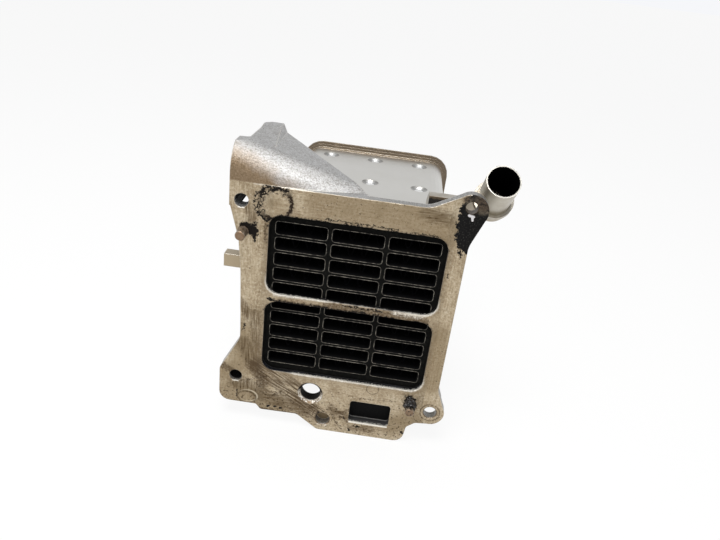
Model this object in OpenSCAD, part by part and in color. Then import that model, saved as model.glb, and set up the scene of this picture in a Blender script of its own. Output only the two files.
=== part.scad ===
// EGR cooler: a die-cast front frame with two gas windows and a bank of flat tubes in a dimpled sheet can.
// Exhaust gas goes in at one window, turns round in the cap at the far end and comes back to the other.
// Frame: millimetres, Z up, origin on the gasket face at the middle of the rib, the face looking along -Y.

/* [Can] */
// Outer width of the can
can_w = 104; // [98:0.5:112]
// Outer height of the can
can_h = 111.4; // [104:0.2:120]
// Sheet thickness of the can and the cap
sheet_t = 1.2; // [1:0.1:1.6]
// Outer corner radius of the can
can_r = 10; // [8:0.5:11]
// Width of the can's turned-out rear lip
can_lip = 1.2; // [0.8:0.1:2]
// Width of the rear tube sheet past the can
sheet_lip = 3; // [2.2:0.1:3.4]
// Width of the cap's flange past the can
rear_lip = 4.6; // [3.5:0.1:5]
// Width of the turned-out front lip at the sides
front_lip_x = 3.5; // [3:0.1:4]
// Width of the turned-out front lip at the top and the bottom
front_lip_z = 2.3; // [2:0.1:2.8]
// Depth of the rear face of the core behind the gasket face
core_end = 147.5; // [132:0.5:164]
// Thickness of the tube sheets
header_t = 2; // [1.5:0.1:2.5]
// Depth of the turning cap's bowl
cap_t = 16; // [14:0.5:20]
// Inset of the bowl from the can's sides
cap_inset = 1; // [0.5:0.25:1]
// Corner radius of the bowl
cap_r = 8; // [6:0.5:8]
// Mouth radius of a pressed dimple
dimple_r = 5.8; // [4.5:0.1:6.5]
// Depth of a pressed dimple
dimple_t = 1.6; // [1:0.1:2]
// Depth of the first row of dimples behind the face
dimple_first = 24; // [20:0.5:28]
// Distance of the last row of dimples from the rear face of the core
dimple_last = 17; // [12:0.5:24]
// Height of the side dimples above and below the middle
dimple_side = 25; // [15:0.5:35]

/* [Tube bank] */
// Rows of tubes
tube_rows = 10; // [8:2:12]
// Tubes in a row
tube_cols = 3; // [2:1:4]
// Space between the can's wall and the first tube at the side
bank_gap_x = 0.7; // [0.5:0.1:2]
// Space between the can's wall and the first row
bank_gap_z = 4.5; // [3.5:0.1:6]
// Coolant gap between tubes side by side
tube_gap_x = 2.2; // [1.8:0.1:4]
// Coolant gap between rows
tube_gap_z = 1.4; // [1.2:0.1:2.4]
// Wall of a tube
tube_wall = 0.5; // [0.4:0.1:0.8]
// Outer corner radius of a tube
tube_r = 2; // [1.2:0.1:2.6]
// Length that a tube stands out of each tube sheet
tube_proud = 0.4; // [0.2:0.1:0.45]
// Thickness of the turbulator strip
fin_t = 0.3; // [0.2:0.05:0.4]
// Depth of the strip's end behind the tube's mouth
fin_in = 6; // [2:0.5:12]
// Space between the strip and the tube's side walls
fin_side = 3; // [2:0.5:5]
// Folds of the turbulator strip across a tube
fin_folds = 6; // [4:1:8]

/* [Gas windows] */
// Width of a window past each side of the can
window_over = 0.2; // [0:0.1:1]
// Height of the can's edge behind the lip above and below the windows
window_lap = 1.7; // [1:0.1:4]
// Radius of the window corners
window_r = 8; // [4:0.5:10]
// Height of the rib between the windows
rib_h = 5; // [3:0.5:8]
// Depth of the rib and of the lips in front of the tube sheet
lip_t = 3; // [2:0.25:4]

/* [Casting] */
// Thickness of the frame
frame_t = 9; // [8.5:0.5:12]
// Height of the top edge over the can
top_over = 15.3; // [13:0.1:17]
// Width of the right edge beside the can
right_over = 11; // [9:0.1:13]
// Width of the left edge beside the can at its narrowest
left_over = 14.8; // [13:0.1:16]
// Width of the left edge at the lower bolt
boss_over = 27.5; // [25:0.1:29]
// Depth of the foot under the can
foot_under = 40.7; // [39:0.1:44]
// Depth of the left part of the lower edge under the can
heel_under = 27.1; // [25:0.1:29]
// Thickness of the lower right ear
thin_ear_t = 6; // [4:0.5:8]
// Thickness of the upper right ear and of the top edge beside it
ear_up_t = 6; // [4:0.5:8]
// Radius of the lower right ear
ear_r = 9.2; // [8:0.1:10]
// Radius of the upper right ear
ear_up_r = 9.8; // [9:0.1:10]
// Height of the upper right hole over the middle of its ear
ear_up_shift = 2.1; // [1:0.1:3]
// Reach of the locating peg at the left beside the can
peg_over = 28.6; // [26:0.1:31]
// Length of the peg
peg_l = 22; // [16:0.5:24]
// Height of the peg
peg_h = 8.3; // [6:0.1:10]
// Depth of the peg behind the frame
peg_t = 6.8; // [5:0.1:9]
// Height of the peg's lower side over the rib's middle
peg_up = 12.5; // [8:0.1:16]

/* [Bolt holes] */
// Diameter of the bolt holes
bolt_d = 8.4; // [6.6:0.1:9]
// Diameter of the upper right hole
ear_bolt_d = 7; // [6:0.1:8]
// Width of the lead-in of the lower right hole
bolt_lead = 0.7; // [0.4:0.1:1]
// Distance of the left pair from the can's side
bolt_left_over = 16.8; // [16:0.1:18]
// Height of the upper left hole over the can
bolt_left_rise = 4.4; // [3:0.1:6]
// Depth of the lower left hole under the can
bolt_left_drop = 6.1; // [5:0.1:8]
// Length of the boss behind the lower left hole
boss_l = 13; // [11:1:15]
// Wall of that boss
boss_wall = 3; // [2.6:0.1:3.4]
// Distance of the right pair from the can's side
bolt_right_over = 8.5; // [8:0.1:9.5]
// Height of the upper right hole over the can
bolt_right_rise = 18.7; // [17:0.1:20]
// Depth of the lower right hole under the can
bolt_right_drop = 13.4; // [12:0.1:15]

/* [Other openings in the face] */
// Diameter of the large through hole
drain_d = 13.2; // [11:0.2:14]
// X of the large through hole
drain_x = -19; // [-22:0.1:-17]
// Depth of the large hole under the can
drain_under = 12.2; // [12:0.1:14]
// Width of the lead-in of the large hole
drain_lead = 2; // [0.5:0.25:2.5]
// Diameter of the blind locating hole
blind_d = 9.4; // [8:0.2:10]
// X of the blind hole
blind_x = -9.2; // [-11:0.1:-7]
// Depth of the blind hole under the can
blind_under = 31.6; // [30:0.1:33]
// Width of the lead-in of the blind hole
blind_lead = 0.8; // [0.4:0.1:1]
// Depth of the blind hole and of the rectangular pocket
blind_t = 6; // [4:0.5:7]
// Width of the rectangular pocket
pocket_w = 26.8; // [20:0.2:28]
// Height of the rectangular pocket
pocket_h = 17; // [12:0.2:18]
// X of the middle of the pocket
pocket_x = 21.4; // [19:0.1:23]
// Depth of the middle of the pocket under the can
pocket_under = 21.6; // [20:0.1:24]
// Corner radius of the pocket
pocket_r = 2; // [1:0.5:4]

/* [Dowel pins] */
// Diameter of the pins
dowel_d = 6; // [5:0.5:6]
// Length of a pin in front of the face
dowel_out = 8; // [5:0.5:10]
// Length of a pin in the casting
dowel_in = 6.5; // [5:0.5:7]
// Width of the shoulder of the pressed-in end
dowel_step = 0.25; // [0.2:0.05:0.4]
// Width of the bevel at a pin's tip
dowel_tip = 0.6; // [0.3:0.1:1]
// Distance of the upper pin from the can's side
dowel_up_over = 15.2; // [14.5:0.1:16]
// Depth of the upper pin below the can's top
dowel_up_drop = 14.6; // [12:0.1:18]
// Distance of the lower pin inside the can's side
dowel_low_in = 5.4; // [4:0.1:8]
// Depth of the lower pin under the can
dowel_low_under = 9.9; // [8:0.1:11]

/* [Coolant inlet] */
// Outer diameter of the hose stub
pipe_d = 20; // [16:0.5:20]
// Wall of the hose stub
pipe_wall = 0.9; // [0.7:0.1:1.2]
// Length of the hose stub in front of its collar's seat
pipe_l = 27.6; // [20:0.2:32]
// Tilt of the hose stub from upright toward the front
pipe_tilt = 47; // [44:0.5:50]
// Lean of the hose stub to the right
pipe_lean = 1.5; // [0:0.5:3]
// Distance of the collar's seat from the can's side
pipe_over = 24.2; // [23:0.1:25]
// Depth of the collar's seat behind the face
pipe_back = 32.9; // [32:0.1:34]
// Height of the collar's seat over the can
pipe_rise = 13.5; // [12.5:0.1:14]
// Outer diameter of the collar
collar_d = 24.6; // [23:0.2:25]
// Length of the collar
collar_t = 3; // [2:0.25:4]
// Length of the coolant box across
box_l = 41; // [38:0.5:44]
// Width of the coolant box over the can's top
box_lap = 14; // [12:0.5:18]
// Depth of the box's front wall behind the face
box_front = 30; // [28:0.5:31]
// Depth of the box from front to rear
box_t = 22; // [20:0.5:26]
// Width of the box's level top
box_flat = 8; // [6:0.5:10]
// Height of the box over the can
box_rise = 12.3; // [11.5:0.1:13]
// Fall of the box's sloping top
box_fall = 10; // [8:0.5:11]
// Height of the box's floor over the can beside it
box_floor = 4.8; // [4:0.1:6]
// Width of the coolant slot in the can under the box
slot_w = 6; // [4:0.5:8]
// Length of the coolant slot
slot_l = 12; // [8:0.5:14]

/* [Horn and coolant outlet] */
// Distance of the horn's left face from the can's side
horn_over = 23.9; // [23.5:0.1:25]
// Height of the ridge over the can at the left face
horn_rise = 37.7; // [36:0.1:39]
// Fall of the ridge toward the right
horn_fall = 15; // [14.5:0.1:15.5]
// Radius between the horn's front and its top
horn_r = 18; // [14:0.5:20]
// Height of the horn's flat top over the can
horn_cap_rise = 35.9; // [34:0.1:36.5]
// Depth of the horn behind the face
horn_back = 57.5; // [54:0.5:62]
// Depth of the step in the horn's left side
horn_step = 20.5; // [18:0.5:24]
// X of the horn's right end
horn_tip = 2; // [0:0.5:4]
// Distance of the lug at the horn's rear from the can's side
lug_over = 18; // [17:0.1:19]
// Width of the lug at the rear
lug_w = 12.5; // [10:0.5:14]
// Height of the lug over the can
lug_rise = 36.9; // [36.5:0.1:38]
// Distance of the lug's crest from the horn's rear
lug_crest = 6; // [4:0.5:8]
// Slope of the lug's top toward the front
lug_slope = 8.5; // [6:0.5:12]
// Steepness of the lug's right side
lug_side = 60; // [50:1:75]
// Diameter of the outlet bore in the horn
outlet_d = 13; // [10:0.5:13]
// Distance of the duct inside the can's left side
duct_in = 18; // [16:0.5:20]
// Depth of the duct behind the face
duct_y = 18; // [17:0.5:20]
// Radius of the duct
duct_r = 6; // [4:0.5:6]
// Wall of the rubber ring round the duct
ring_w = 2; // [1.5:0.25:2.5]

/* [Hidden] */
$fn = 48;
cut = 0.5;
skin = 0.01;
through = 3 * frame_t;
far = 3 * can_w;
seal_t = 0.5;
braze_gap = 0.03;
press_gap = 0.02;
slip_gap = 0.5;

side = can_w / 2;
edge = can_h / 2;
inner_w = can_w - 2 * sheet_t;
inner_h = can_h - 2 * sheet_t;
window_w = can_w + 2 * window_over;
window_h = can_h - 2 * window_lap;
pass_h = (window_h - rib_h) / 2;
header_w = can_w + 2 * front_lip_x;
header_h = can_h + 2 * front_lip_z;
header_r = can_r + front_lip_z;
header_y = lip_t + seal_t;
can_y = header_y + header_t;
can_end = core_end - header_t - sheet_t;
dimple_pitch = (core_end - dimple_first - dimple_last) / 2;
dimple_slope = dimple_r / 2;
dimple_wall = dimple_r + sheet_t;
dimple_floor = dimple_wall - dimple_slope;

col_pitch = (inner_w - 2 * bank_gap_x) / tube_cols;
row_pitch = (inner_h - 2 * bank_gap_z) / tube_rows;
tube_w = col_pitch - tube_gap_x;
tube_h = row_pitch - tube_gap_z;
tube_y = header_y - tube_proud;
tube_l = core_end + tube_proud - tube_y;
bore_w = tube_w - 2 * tube_wall;
bore_h = tube_h - 2 * tube_wall;

frame_top = edge + top_over;
frame_right = side + right_over;
frame_left = side + left_over;
boss_left = side + boss_over;
foot_low = edge + foot_under;
heel_low = edge + heel_under;
bolt_left = -side - bolt_left_over;
bolt_left_up = edge + bolt_left_rise;
bolt_left_low = -edge - bolt_left_drop;
bolt_right = side + bolt_right_over;
bolt_right_up = edge + bolt_right_rise;
bolt_right_low = -edge - bolt_right_drop;
bolt_a = [bolt_left, bolt_left_up];
bolt_b = [bolt_left, bolt_left_low];
boss_r = bolt_d / 2 + boss_wall;
bolt_c = [bolt_right, bolt_right_low];
bolt_ear = [bolt_right, bolt_right_up];
ear_up_z = bolt_right_up - ear_up_shift;
drain_at = [drain_x, -edge - drain_under];
blind_at = [blind_x, -edge - blind_under];
pocket_at = [pocket_x, -edge - pocket_under];
dowel_up_at = [-side - dowel_up_over, edge - dowel_up_drop];
dowel_low_at = [side - dowel_low_in, -edge - dowel_low_under];
dowel_r = dowel_d / 2;
dowel_grip = dowel_r + dowel_step;

pocket_wall = 2;
ear_fair = 14;
rim_in = 0.1;
ear_up_from = 118;
ear_up_to = -18;
ear_low_from = 24;
ear_low_to = -93;
flank = edge - 4.7;
flank_up_r = 16;
flank_low_r = 10;
notch_drop = 10;
notch_r = 3;
knee = side - 5.2;
knee_low = heel_low + 0.6;
foot_right = side - 6.8;
foot_right_r = 7;
foot_left = blind_x - 3.3;
heel_right = drain_x - 7.8;
heel_right_low = heel_low + 3.4;
heel_left = side - 0.6;
heel_left_low = heel_low + 3.8;
heel_step = side + 2.6;
heel_r = 5;
step_r = 2;
boss_low_r = 7;
boss_up = bolt_left_low + 4.3;
boss_up_r = 4;
waist_low = bolt_left_low + 28.8;
waist_low_r = 9;
waist_up = bolt_left_low + 37.8;
waist_up_r = 12;
waist_lean = 1.1;
chest_low = edge - 41.7;
chest_lean = 3;
chest_up = edge - 19.7;
chest_r = 20;
chin = bolt_left_up - 1.6;

horn_left = side + horn_over;
horn_high = edge + horn_rise;
horn_cap = edge + horn_cap_rise;
horn_floor = edge + slip_gap;
rear_cut = 3.5;
rear_cut_w = 4;
rear_r = 3;
horn_end = horn_back - rear_cut;
step_draft = 1;
lug_left = side + lug_over;
lug_rear = lug_left - lug_w;
lug_top = edge + lug_rise;
lug_low = horn_floor + frame_t;
duct_x = duct_in - side;
outlet_r = outlet_d / 2;
outlet_cover = 8;
outlet_wall = 5;
outlet_rim = 3.8;
mouth_step = 3;
outlet_low = outlet_r + outlet_cover;
outlet_face = 6.8;
outlet_l = 40.5;
outlet_boss = outlet_r + outlet_wall;
mouth_r = outlet_r + mouth_step;
ring_r = duct_r + ring_w;
ring_seat = 1.5;
duct_l = 12;

pipe_foot = [side + pipe_over, pipe_back, edge + pipe_rise];
pipe_r = pipe_d / 2;
pipe_bore = pipe_r - pipe_wall;
collar_r = collar_d / 2;
socket_t = 3;
neck_step = 1;
neck_r = pipe_r + neck_step;
neck_l = 6;
foot_step = 0.5;
foot_r = pipe_r + foot_step;
box_left = side - box_lap;
box_rear = box_front + box_t;
box_knee = box_front + box_flat;
box_top = edge + box_rise;
box_low = edge - can_r;
box_slope = atan(box_fall / (box_t - box_flat));
floor_out = 3;
floor_in = 6;
fin_flat = 0.2;

function unit(v) = v / norm(v);
function row_z(row) = (tube_rows / 2 + 0.5 - row) * row_pitch;
function col_x(col) = (col - (tube_cols + 1) / 2) * col_pitch;
function two(n) = n < 10 ? str("0", n) : str(n);
function tube_name(row, col) = str("gas_tube_r", two(row), "_c", col);
function fins_name(row) = str("fins_row_", two(row));

// Points of an arc of radius r that rounds corner q between neighbours p and s
function corner(p, q, s, r, n) =
    r <= 0 ? [q] :
    let (u = unit(p - q))
    let (w = unit(s - q))
    let (half = acos(u * w) / 2)
    let (c = q + unit(u + w) * r / sin(half))
    let (a = q + u * r / tan(half) - c)
    let (b = q + w * r / tan(half) - c)
    let (start = atan2(a[1], a[0]))
    let (turn = atan2(b[1], b[0]) - start)
    let (sweep = turn > 180 ? turn - 360 : turn < -180 ? turn + 360 : turn)
    [for (i = [0:n]) c + r * [cos(start + sweep * i / n), sin(start + sweep * i / n)]];

function xy(p) = [p[0], p[1]];

// Sharp corner of an outline just inside a circle round c, at an angle
function on_rim(c, r, angle) = [c[0] + (r - rim_in) * cos(angle), c[1] + (r - rim_in) * sin(angle), 0];

// Closed outline from corners given as [x, y, radius]
function rounded(pts, n = 5) =
    let (m = len(pts))
    [for (i = [0:m - 1])
        each corner(xy(pts[(i + m - 1) % m]), xy(pts[i]), xy(pts[(i + 1) % m]), pts[i][2], n)];

// Outline of a rectangle with rounded corners
function box_outline(w, h, r, n = 5) =
    rounded([[-w / 2, -h / 2, r], [w / 2, -h / 2, r], [w / 2, h / 2, r], [-w / 2, h / 2, r]], n);

// Turns a drawing in X and Z into a slab that starts at depth y
module slab(y, t) {
    translate([0, y + t, 0])
        rotate([90, 0, 0])
            linear_extrude(t)
                children();
}

// A round bar along the depth, from depth y, at [x, z]
module along_y(at, y, l, r1, r2) {
    translate([at[0], y, at[1]])
        rotate([-90, 0, 0])
            cylinder(h = l, r1 = r1, r2 = r2);
}

// Plate with rounded corners
module plate(w, h, r) {
    polygon(box_outline(w, h, r));
}

// Plate that stands past the can by a lip all round
module lipped(lip) {
    plate(can_w + 2 * lip, can_h + 2 * lip, can_r + lip);
}

// Front outline of the casting, from the upper left corner round by the right
module frame_outline() {
    up = [bolt_right, ear_up_z];
    low = [bolt_right, bolt_right_low];
    polygon(rounded([
        [-horn_left, frame_top, 0],
        [side - ear_fair, frame_top, ear_fair],
        on_rim(up, ear_up_r, ear_up_from),
        [up[0], up[1], 0],
        on_rim(up, ear_up_r, ear_up_to),
        [frame_right, flank, flank_up_r],
        [frame_right, -flank, flank_low_r],
        on_rim(low, ear_r, ear_low_from),
        [low[0], low[1], 0],
        on_rim(low, ear_r, ear_low_to),
        [side, low[1] - notch_drop, notch_r],
        [knee, -knee_low, notch_r],
        [foot_right, -foot_low, foot_right_r],
        [foot_left, -foot_low, heel_r],
        [heel_right, -heel_right_low, heel_r],
        [-heel_left, -heel_left_low, step_r],
        [-heel_step, -heel_low, step_r],
        [-boss_left, -heel_low, boss_low_r],
        [-boss_left, boss_up, boss_up_r],
        [-frame_left, waist_low, waist_low_r],
        [-frame_left, waist_up, waist_up_r],
        [-frame_left - waist_lean, chest_low, chest_r],
        [-frame_left - chest_lean, chest_up, chest_r],
        [-horn_left, chin, heel_r]
    ]));
    translate(up)
        circle(r = ear_up_r);
    translate(low)
        circle(r = ear_r);
}

// Plan of the horn behind the face
module horn_plan() {
    polygon(rounded([
        [-horn_left, 0, 0],
        [-horn_left, horn_step - step_draft, step_draft],
        [-lug_left, horn_step, step_r],
        [step_draft - lug_left, horn_end, rear_r],
        [step_draft + rear_cut_w - lug_left, horn_back, rear_r],
        [-lug_rear, horn_back, rear_r],
        [horn_tip, frame_t, 0],
        [horn_tip, 0, 0]
    ]));
}

// Everything under a level plane
module half_space() {
    translate([-far, -far, -far])
        cube([2 * far, 2 * far, far]);
}

// Lug at the horn's rear, which rises out of the horn's top behind its round front
module lug() {
    intersection() {
        translate([-far, horn_r, 0])
            cube(2 * far);
        translate([0, 0, lug_low])
            linear_extrude(lug_top - lug_low)
                horn_plan();
        translate([0, horn_back - lug_crest, lug_top])
            rotate([lug_slope, 0, 0])
                half_space();
        translate([-lug_rear, 0, lug_top])
            rotate([0, lug_side, 0])
                half_space();
    }
}

// Puts children in a frame that lies along the horn's ridge
module on_ridge() {
    translate([-horn_left, 0, horn_high])
        rotate([0, horn_fall, 0])
            children();
}

// Long bar whose top follows the ridge and whose front edge is round
module ridge_bar() {
    on_ridge()
        translate([-far / 2, 0, 0])
            rotate([90, 0, 90])
                linear_extrude(far) {
                    translate([horn_r, -side])
                        square([far, side]);
                    translate([0, -side])
                        square([horn_r + cut, side - horn_r]);
                    translate([horn_r, -horn_r])
                        circle(r = horn_r);
                }
}

module horn() {
    intersection() {
        translate([0, 0, horn_floor])
            linear_extrude(horn_cap - horn_floor)
                horn_plan();
        ridge_bar();
    }
    lug();
    intersection() {
        on_outlet(outlet_face - outlet_rim)
            cylinder(h = outlet_l, r = outlet_boss);
        translate([-horn_left, 0, horn_floor])
            cube(outlet_l);
    }
}

// Puts children on the outlet bore's axis, Z into the horn, from a distance along the ridge
module on_outlet(start) {
    on_ridge()
        translate([start, duct_y, -outlet_low])
            rotate([0, 90, 0])
                children();
}

module horn_ducts() {
    on_outlet(outlet_face)
        cylinder(h = outlet_l, r = outlet_r);
    on_outlet(outlet_face - outlet_l)
        cylinder(h = outlet_l, r = mouth_r);
    translate([duct_x, duct_y, horn_floor - cut])
        cylinder(h = duct_l, r = duct_r);
    translate([duct_x, duct_y, horn_floor - cut])
        cylinder(h = cut + ring_seat, r = ring_r + press_gap);
}

// The two windows in the drawing plane
module windows() {
    for (up = [-1, 1])
        translate([0, up * (pass_h + rib_h) / 2])
            plate(window_w, pass_h, window_r);
}

module flange_casting() {
    color("Tan")
        difference() {
            union() {
                slab(0, frame_t)
                    frame_outline();
                horn();
                along_y(bolt_b, frame_t - cut, boss_l + cut, boss_r, boss_r);
                translate([-side - peg_over, frame_t - cut, peg_up])
                    cube([peg_l, peg_t + cut, peg_h]);
            }
            slab(-cut, lip_t + 2 * cut)
                windows();
            slab(lip_t, frame_t)
                plate(header_w + slip_gap, header_h + slip_gap, header_r);
            for (at = [bolt_a, bolt_b, bolt_c])
                along_y(at, -cut, through, bolt_d / 2, bolt_d / 2);
            along_y(bolt_c, -skin, bolt_lead, bolt_d / 2 + bolt_lead, bolt_d / 2);
            along_y(bolt_ear, -cut, through, ear_bolt_d / 2, ear_bolt_d / 2);
            translate([bolt_right - ear_r - cut, thin_ear_t, bolt_right_low - 2 * ear_r])
                cube([4 * ear_r, frame_t, 3 * ear_r]);
            translate([horn_tip, ear_up_t, (header_h + slip_gap) / 2 + pocket_wall])
                cube([far, frame_t, far]);
            along_y(drain_at, -cut, through, drain_d / 2, drain_d / 2);
            along_y(drain_at, -skin, drain_lead, drain_d / 2 + drain_lead, drain_d / 2);
            along_y(blind_at, -cut, blind_t + cut, blind_d / 2, blind_d / 2);
            along_y(blind_at, -skin, blind_lead, blind_d / 2 + blind_lead, blind_d / 2);
            slab(-cut, blind_t + cut)
                translate(pocket_at)
                    plate(pocket_w, pocket_h, pocket_r);
            for (at = [dowel_up_at, dowel_low_at])
                along_y(at, -cut, dowel_in + cut, dowel_grip + press_gap, dowel_grip + press_gap);
            horn_ducts();
        }
}

// Gasket that keeps the two gas passes apart
module header_seal() {
    color("DimGray")
        slab(lip_t, seal_t)
            difference() {
                plate(header_w, header_h, header_r);
                windows();
                tube_slots();
            }
}

module tube_outline(grow) {
    polygon(box_outline(tube_w + 2 * grow, tube_h + 2 * grow, tube_r + grow, 3));
}

module tube_slots() {
    for (row = [1:tube_rows])
        for (col = [1:tube_cols])
            translate([col_x(col), row_z(row)])
                tube_outline(braze_gap);
}

module front_header() {
    color("Gray")
        slab(header_y, header_t)
            difference() {
                plate(header_w, header_h, header_r);
                tube_slots();
            }
}

module rear_header() {
    color("Gray")
        slab(can_end + sheet_t, header_t)
            difference() {
                lipped(sheet_lip);
                tube_slots();
            }
}

// Runs its child at each dimple, pointing into the can: the horn covers the first row on top
module at_dimples(reach_x, reach_z) {
    for (row = [0:2]) {
        y = dimple_first + row * dimple_pitch;
        for (col = [1:tube_cols])
            for (up = [-1, 1])
                if (up < 0 || row > 0)
                    translate([col_x(col), y, up * reach_z])
                        rotate([up > 0 ? 180 : 0, 0, 0])
                            children();
        for (z = [-dimple_side, dimple_side])
            for (right = [-1, 1])
                translate([right * reach_x, y, z])
                    rotate([0, right > 0 ? -90 : 90, 0])
                        children();
    }
}

module can_shell() {
    color("Silver")
        difference() {
            union() {
                difference() {
                    union() {
                        slab(can_y, can_end + sheet_t - can_y)
                            plate(can_w, can_h, can_r);
                        slab(can_y, sheet_t)
                            plate(header_w, header_h, header_r);
                        slab(can_end, sheet_t)
                            lipped(can_lip);
                    }
                    slab(can_y - cut, core_end)
                        plate(inner_w, inner_h, can_r - sheet_t);
                }
                at_dimples(side - sheet_t / 2, edge - sheet_t / 2)
                    cylinder(h = dimple_t + sheet_t / 2, r1 = dimple_wall, r2 = dimple_floor);
            }
            at_dimples(side + skin, edge + skin)
                cylinder(h = dimple_t, r1 = dimple_r, r2 = dimple_r - dimple_slope);
            translate([duct_x, duct_y, edge - can_r / 2])
                cylinder(h = can_r, r = duct_r);
            translate([box_left + sheet_t, box_front + (box_t - slot_l) / 2, edge - can_r / 2])
                cube([slot_w, slot_l, can_r]);
        }
}

// Solid with rounded sides and a rounded far face, from depth y
module bowl(w, h, r, y, t) {
    slab(y, t - r)
        plate_exact(w, h, r);
    translate([-w / 2 + r, y, -h / 2 + r])
        cube([w - 2 * r, t, h - 2 * r]);
    for (sx = [-1, 1])
        translate([sx * (w / 2 - r), y + t - r, -h / 2 + r])
            cylinder(h = h - 2 * r, r = r);
    for (sz = [-1, 1])
        translate([-w / 2 + r, y + t - r, sz * (h / 2 - r)])
            rotate([0, 90, 0])
                cylinder(h = w - 2 * r, r = r);
    for (sx = [-1, 1])
        for (sz = [-1, 1])
            translate([sx * (w / 2 - r), y + t - r, sz * (h / 2 - r)])
                sphere(r = r);
}

module plate_exact(w, h, r) {
    square([w - 2 * r, h], center = true);
    square([w, h - 2 * r], center = true);
    for (sx = [-1, 1])
        for (sz = [-1, 1])
            translate([sx * (w / 2 - r), sz * (h / 2 - r)])
                circle(r = r);
}

module turning_cap() {
    w = can_w - 2 * cap_inset;
    h = can_h - 2 * cap_inset;
    inside = core_end + cap_t - sheet_t - can_end;
    color("Silver")
        difference() {
            union() {
                slab(core_end, sheet_t)
                    lipped(rear_lip);
                bowl(w, h, cap_r, core_end, cap_t);
            }
            bowl(w - 2 * sheet_t, h - 2 * sheet_t, cap_r - sheet_t, can_end, inside);
        }
}

// Sealant that fills the pocket round the can behind its front lip
module core_sealant_bead() {
    start = can_y + sheet_t;
    color("LightGray")
        slab(start, frame_t - start)
            difference() {
                plate(header_w + slip_gap, header_h + slip_gap, header_r);
                plate(can_w, can_h, can_r);
            }
}

module tube(row, col) {
    color("DarkSlateGray")
        translate([col_x(col), 0, row_z(row)])
            slab(tube_y, tube_l)
                difference() {
                    tube_outline(0);
                    tube_outline(-tube_wall);
                }
}

// Upper or lower line of the folded strip
function fin_line(shift) =
    let (step = (bore_w - 2 * fin_side) / fin_folds)
    let (high = bore_h / 2 - fin_t)
    [for (i = [0:fin_folds]) for (side = [-1, 1])
        [(i - fin_folds / 2) * step + side * step * fin_flat, (i % 2 == 0 ? -high : high) + shift]];

module fin_profile() {
    lower = fin_line(-fin_t);
    upper = fin_line(fin_t);
    last = len(upper) - 1;
    polygon(concat(
        [for (i = [0:last]) [lower[i][0], lower[i][1] + (lower[i][1] > 0 ? fin_t : 0)]],
        [for (i = [last:-1:0]) [upper[i][0], upper[i][1] - (upper[i][1] < 0 ? fin_t : 0)]]
    ));
}

module fins(row) {
    color("SlateGray")
        for (col = [1:tube_cols])
            translate([col_x(col), 0, row_z(row)])
                slab(tube_y + fin_in, tube_l - 2 * fin_in)
                    fin_profile();
}

// Puts children on the hose stub's axis, Z along the way the hose leaves
module on_pipe() {
    translate(pipe_foot)
        rotate([pipe_tilt, pipe_lean, 0])
            children();
}

// Section of the coolant box in depth and height, with its wall taken off
module inlet_section(wall) {
    polygon([
        [box_front + wall, box_low],
        [box_front + wall, box_top - wall],
        [box_knee - wall * tan(box_slope / 2), box_top - wall],
        [box_rear - wall, box_top - box_fall + wall * (tan(box_slope) - 1 / cos(box_slope))],
        [box_rear - wall, box_low]
    ]);
}

// Length of the coolant box across the can, with its wall taken off
module inlet_bar(wall) {
    translate([box_left + wall, 0, 0])
        rotate([90, 0, 90])
            linear_extrude(box_l - 2 * wall)
                inlet_section(wall);
}

// Space under the box's floor to the right of x
module under_floor(x, wall) {
    translate([x, 0, 0])
        cube([far, far, edge + box_floor + wall]);
}

module inlet_box() {
    color("Silver")
        difference() {
            union() {
                difference() {
                    inlet_bar(0);
                    under_floor(side + floor_out, 0);
                }
                on_pipe()
                    translate([0, 0, -neck_l])
                        cylinder(h = neck_l, r = neck_r);
            }
            slab(0, core_end)
                plate_exact(can_w, can_h, can_r);
            difference() {
                inlet_bar(sheet_t);
                under_floor(side - floor_in, sheet_t);
            }
            on_pipe()
                translate([0, 0, sheet_t - neck_l])
                    cylinder(h = pipe_l, r = pipe_bore);
            on_pipe()
                translate([0, 0, -socket_t])
                    cylinder(h = pipe_l, r = foot_r + press_gap);
            on_pipe()
                cylinder(h = pipe_l, r = collar_r + press_gap);
        }
}

module inlet_collar() {
    color("Gainsboro")
        on_pipe()
            difference() {
                cylinder(h = collar_t, r = collar_r);
                translate([0, 0, -cut])
                    cylinder(h = collar_t + 2 * cut, r = foot_r + press_gap);
            }
}

module inlet_pipe() {
    color("Gainsboro")
        on_pipe()
            translate([0, 0, -socket_t])
                difference() {
                    union() {
                        cylinder(h = pipe_l + socket_t, r = pipe_r);
                        cylinder(h = collar_t + socket_t, r = foot_r);
                    }
                    translate([0, 0, -cut])
                        cylinder(h = pipe_l + socket_t + 2 * cut, r = pipe_bore);
                }
}

module outlet_seal() {
    color("DimGray")
        translate([duct_x, duct_y, edge])
            difference() {
                cylinder(h = slip_gap + ring_seat, r = ring_r);
                translate([0, 0, -cut])
                    cylinder(h = slip_gap + ring_seat + 2 * cut, r = duct_r);
            }
}

module dowel_pin(at) {
    color("Peru") {
        along_y(at, dowel_tip - dowel_out, dowel_out, dowel_r, dowel_r);
        along_y(at, -dowel_out, dowel_tip, dowel_r - dowel_tip, dowel_r);
        along_y(at, 0, dowel_in, dowel_grip, dowel_grip);
    }
}

flange_casting();
header_seal();
front_header();
can_shell();
rear_header();
turning_cap();
core_sealant_bead();
inlet_box();
inlet_collar();
inlet_pipe();
outlet_seal();
dowel_pin(dowel_up_at);  // dowel_pin_upper
dowel_pin(dowel_low_at);  // dowel_pin_lower
for (row = [1:tube_rows])
    for (col = [1:tube_cols])
        tube(row, col);
for (row = [1:tube_rows])
    fins(row);
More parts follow.
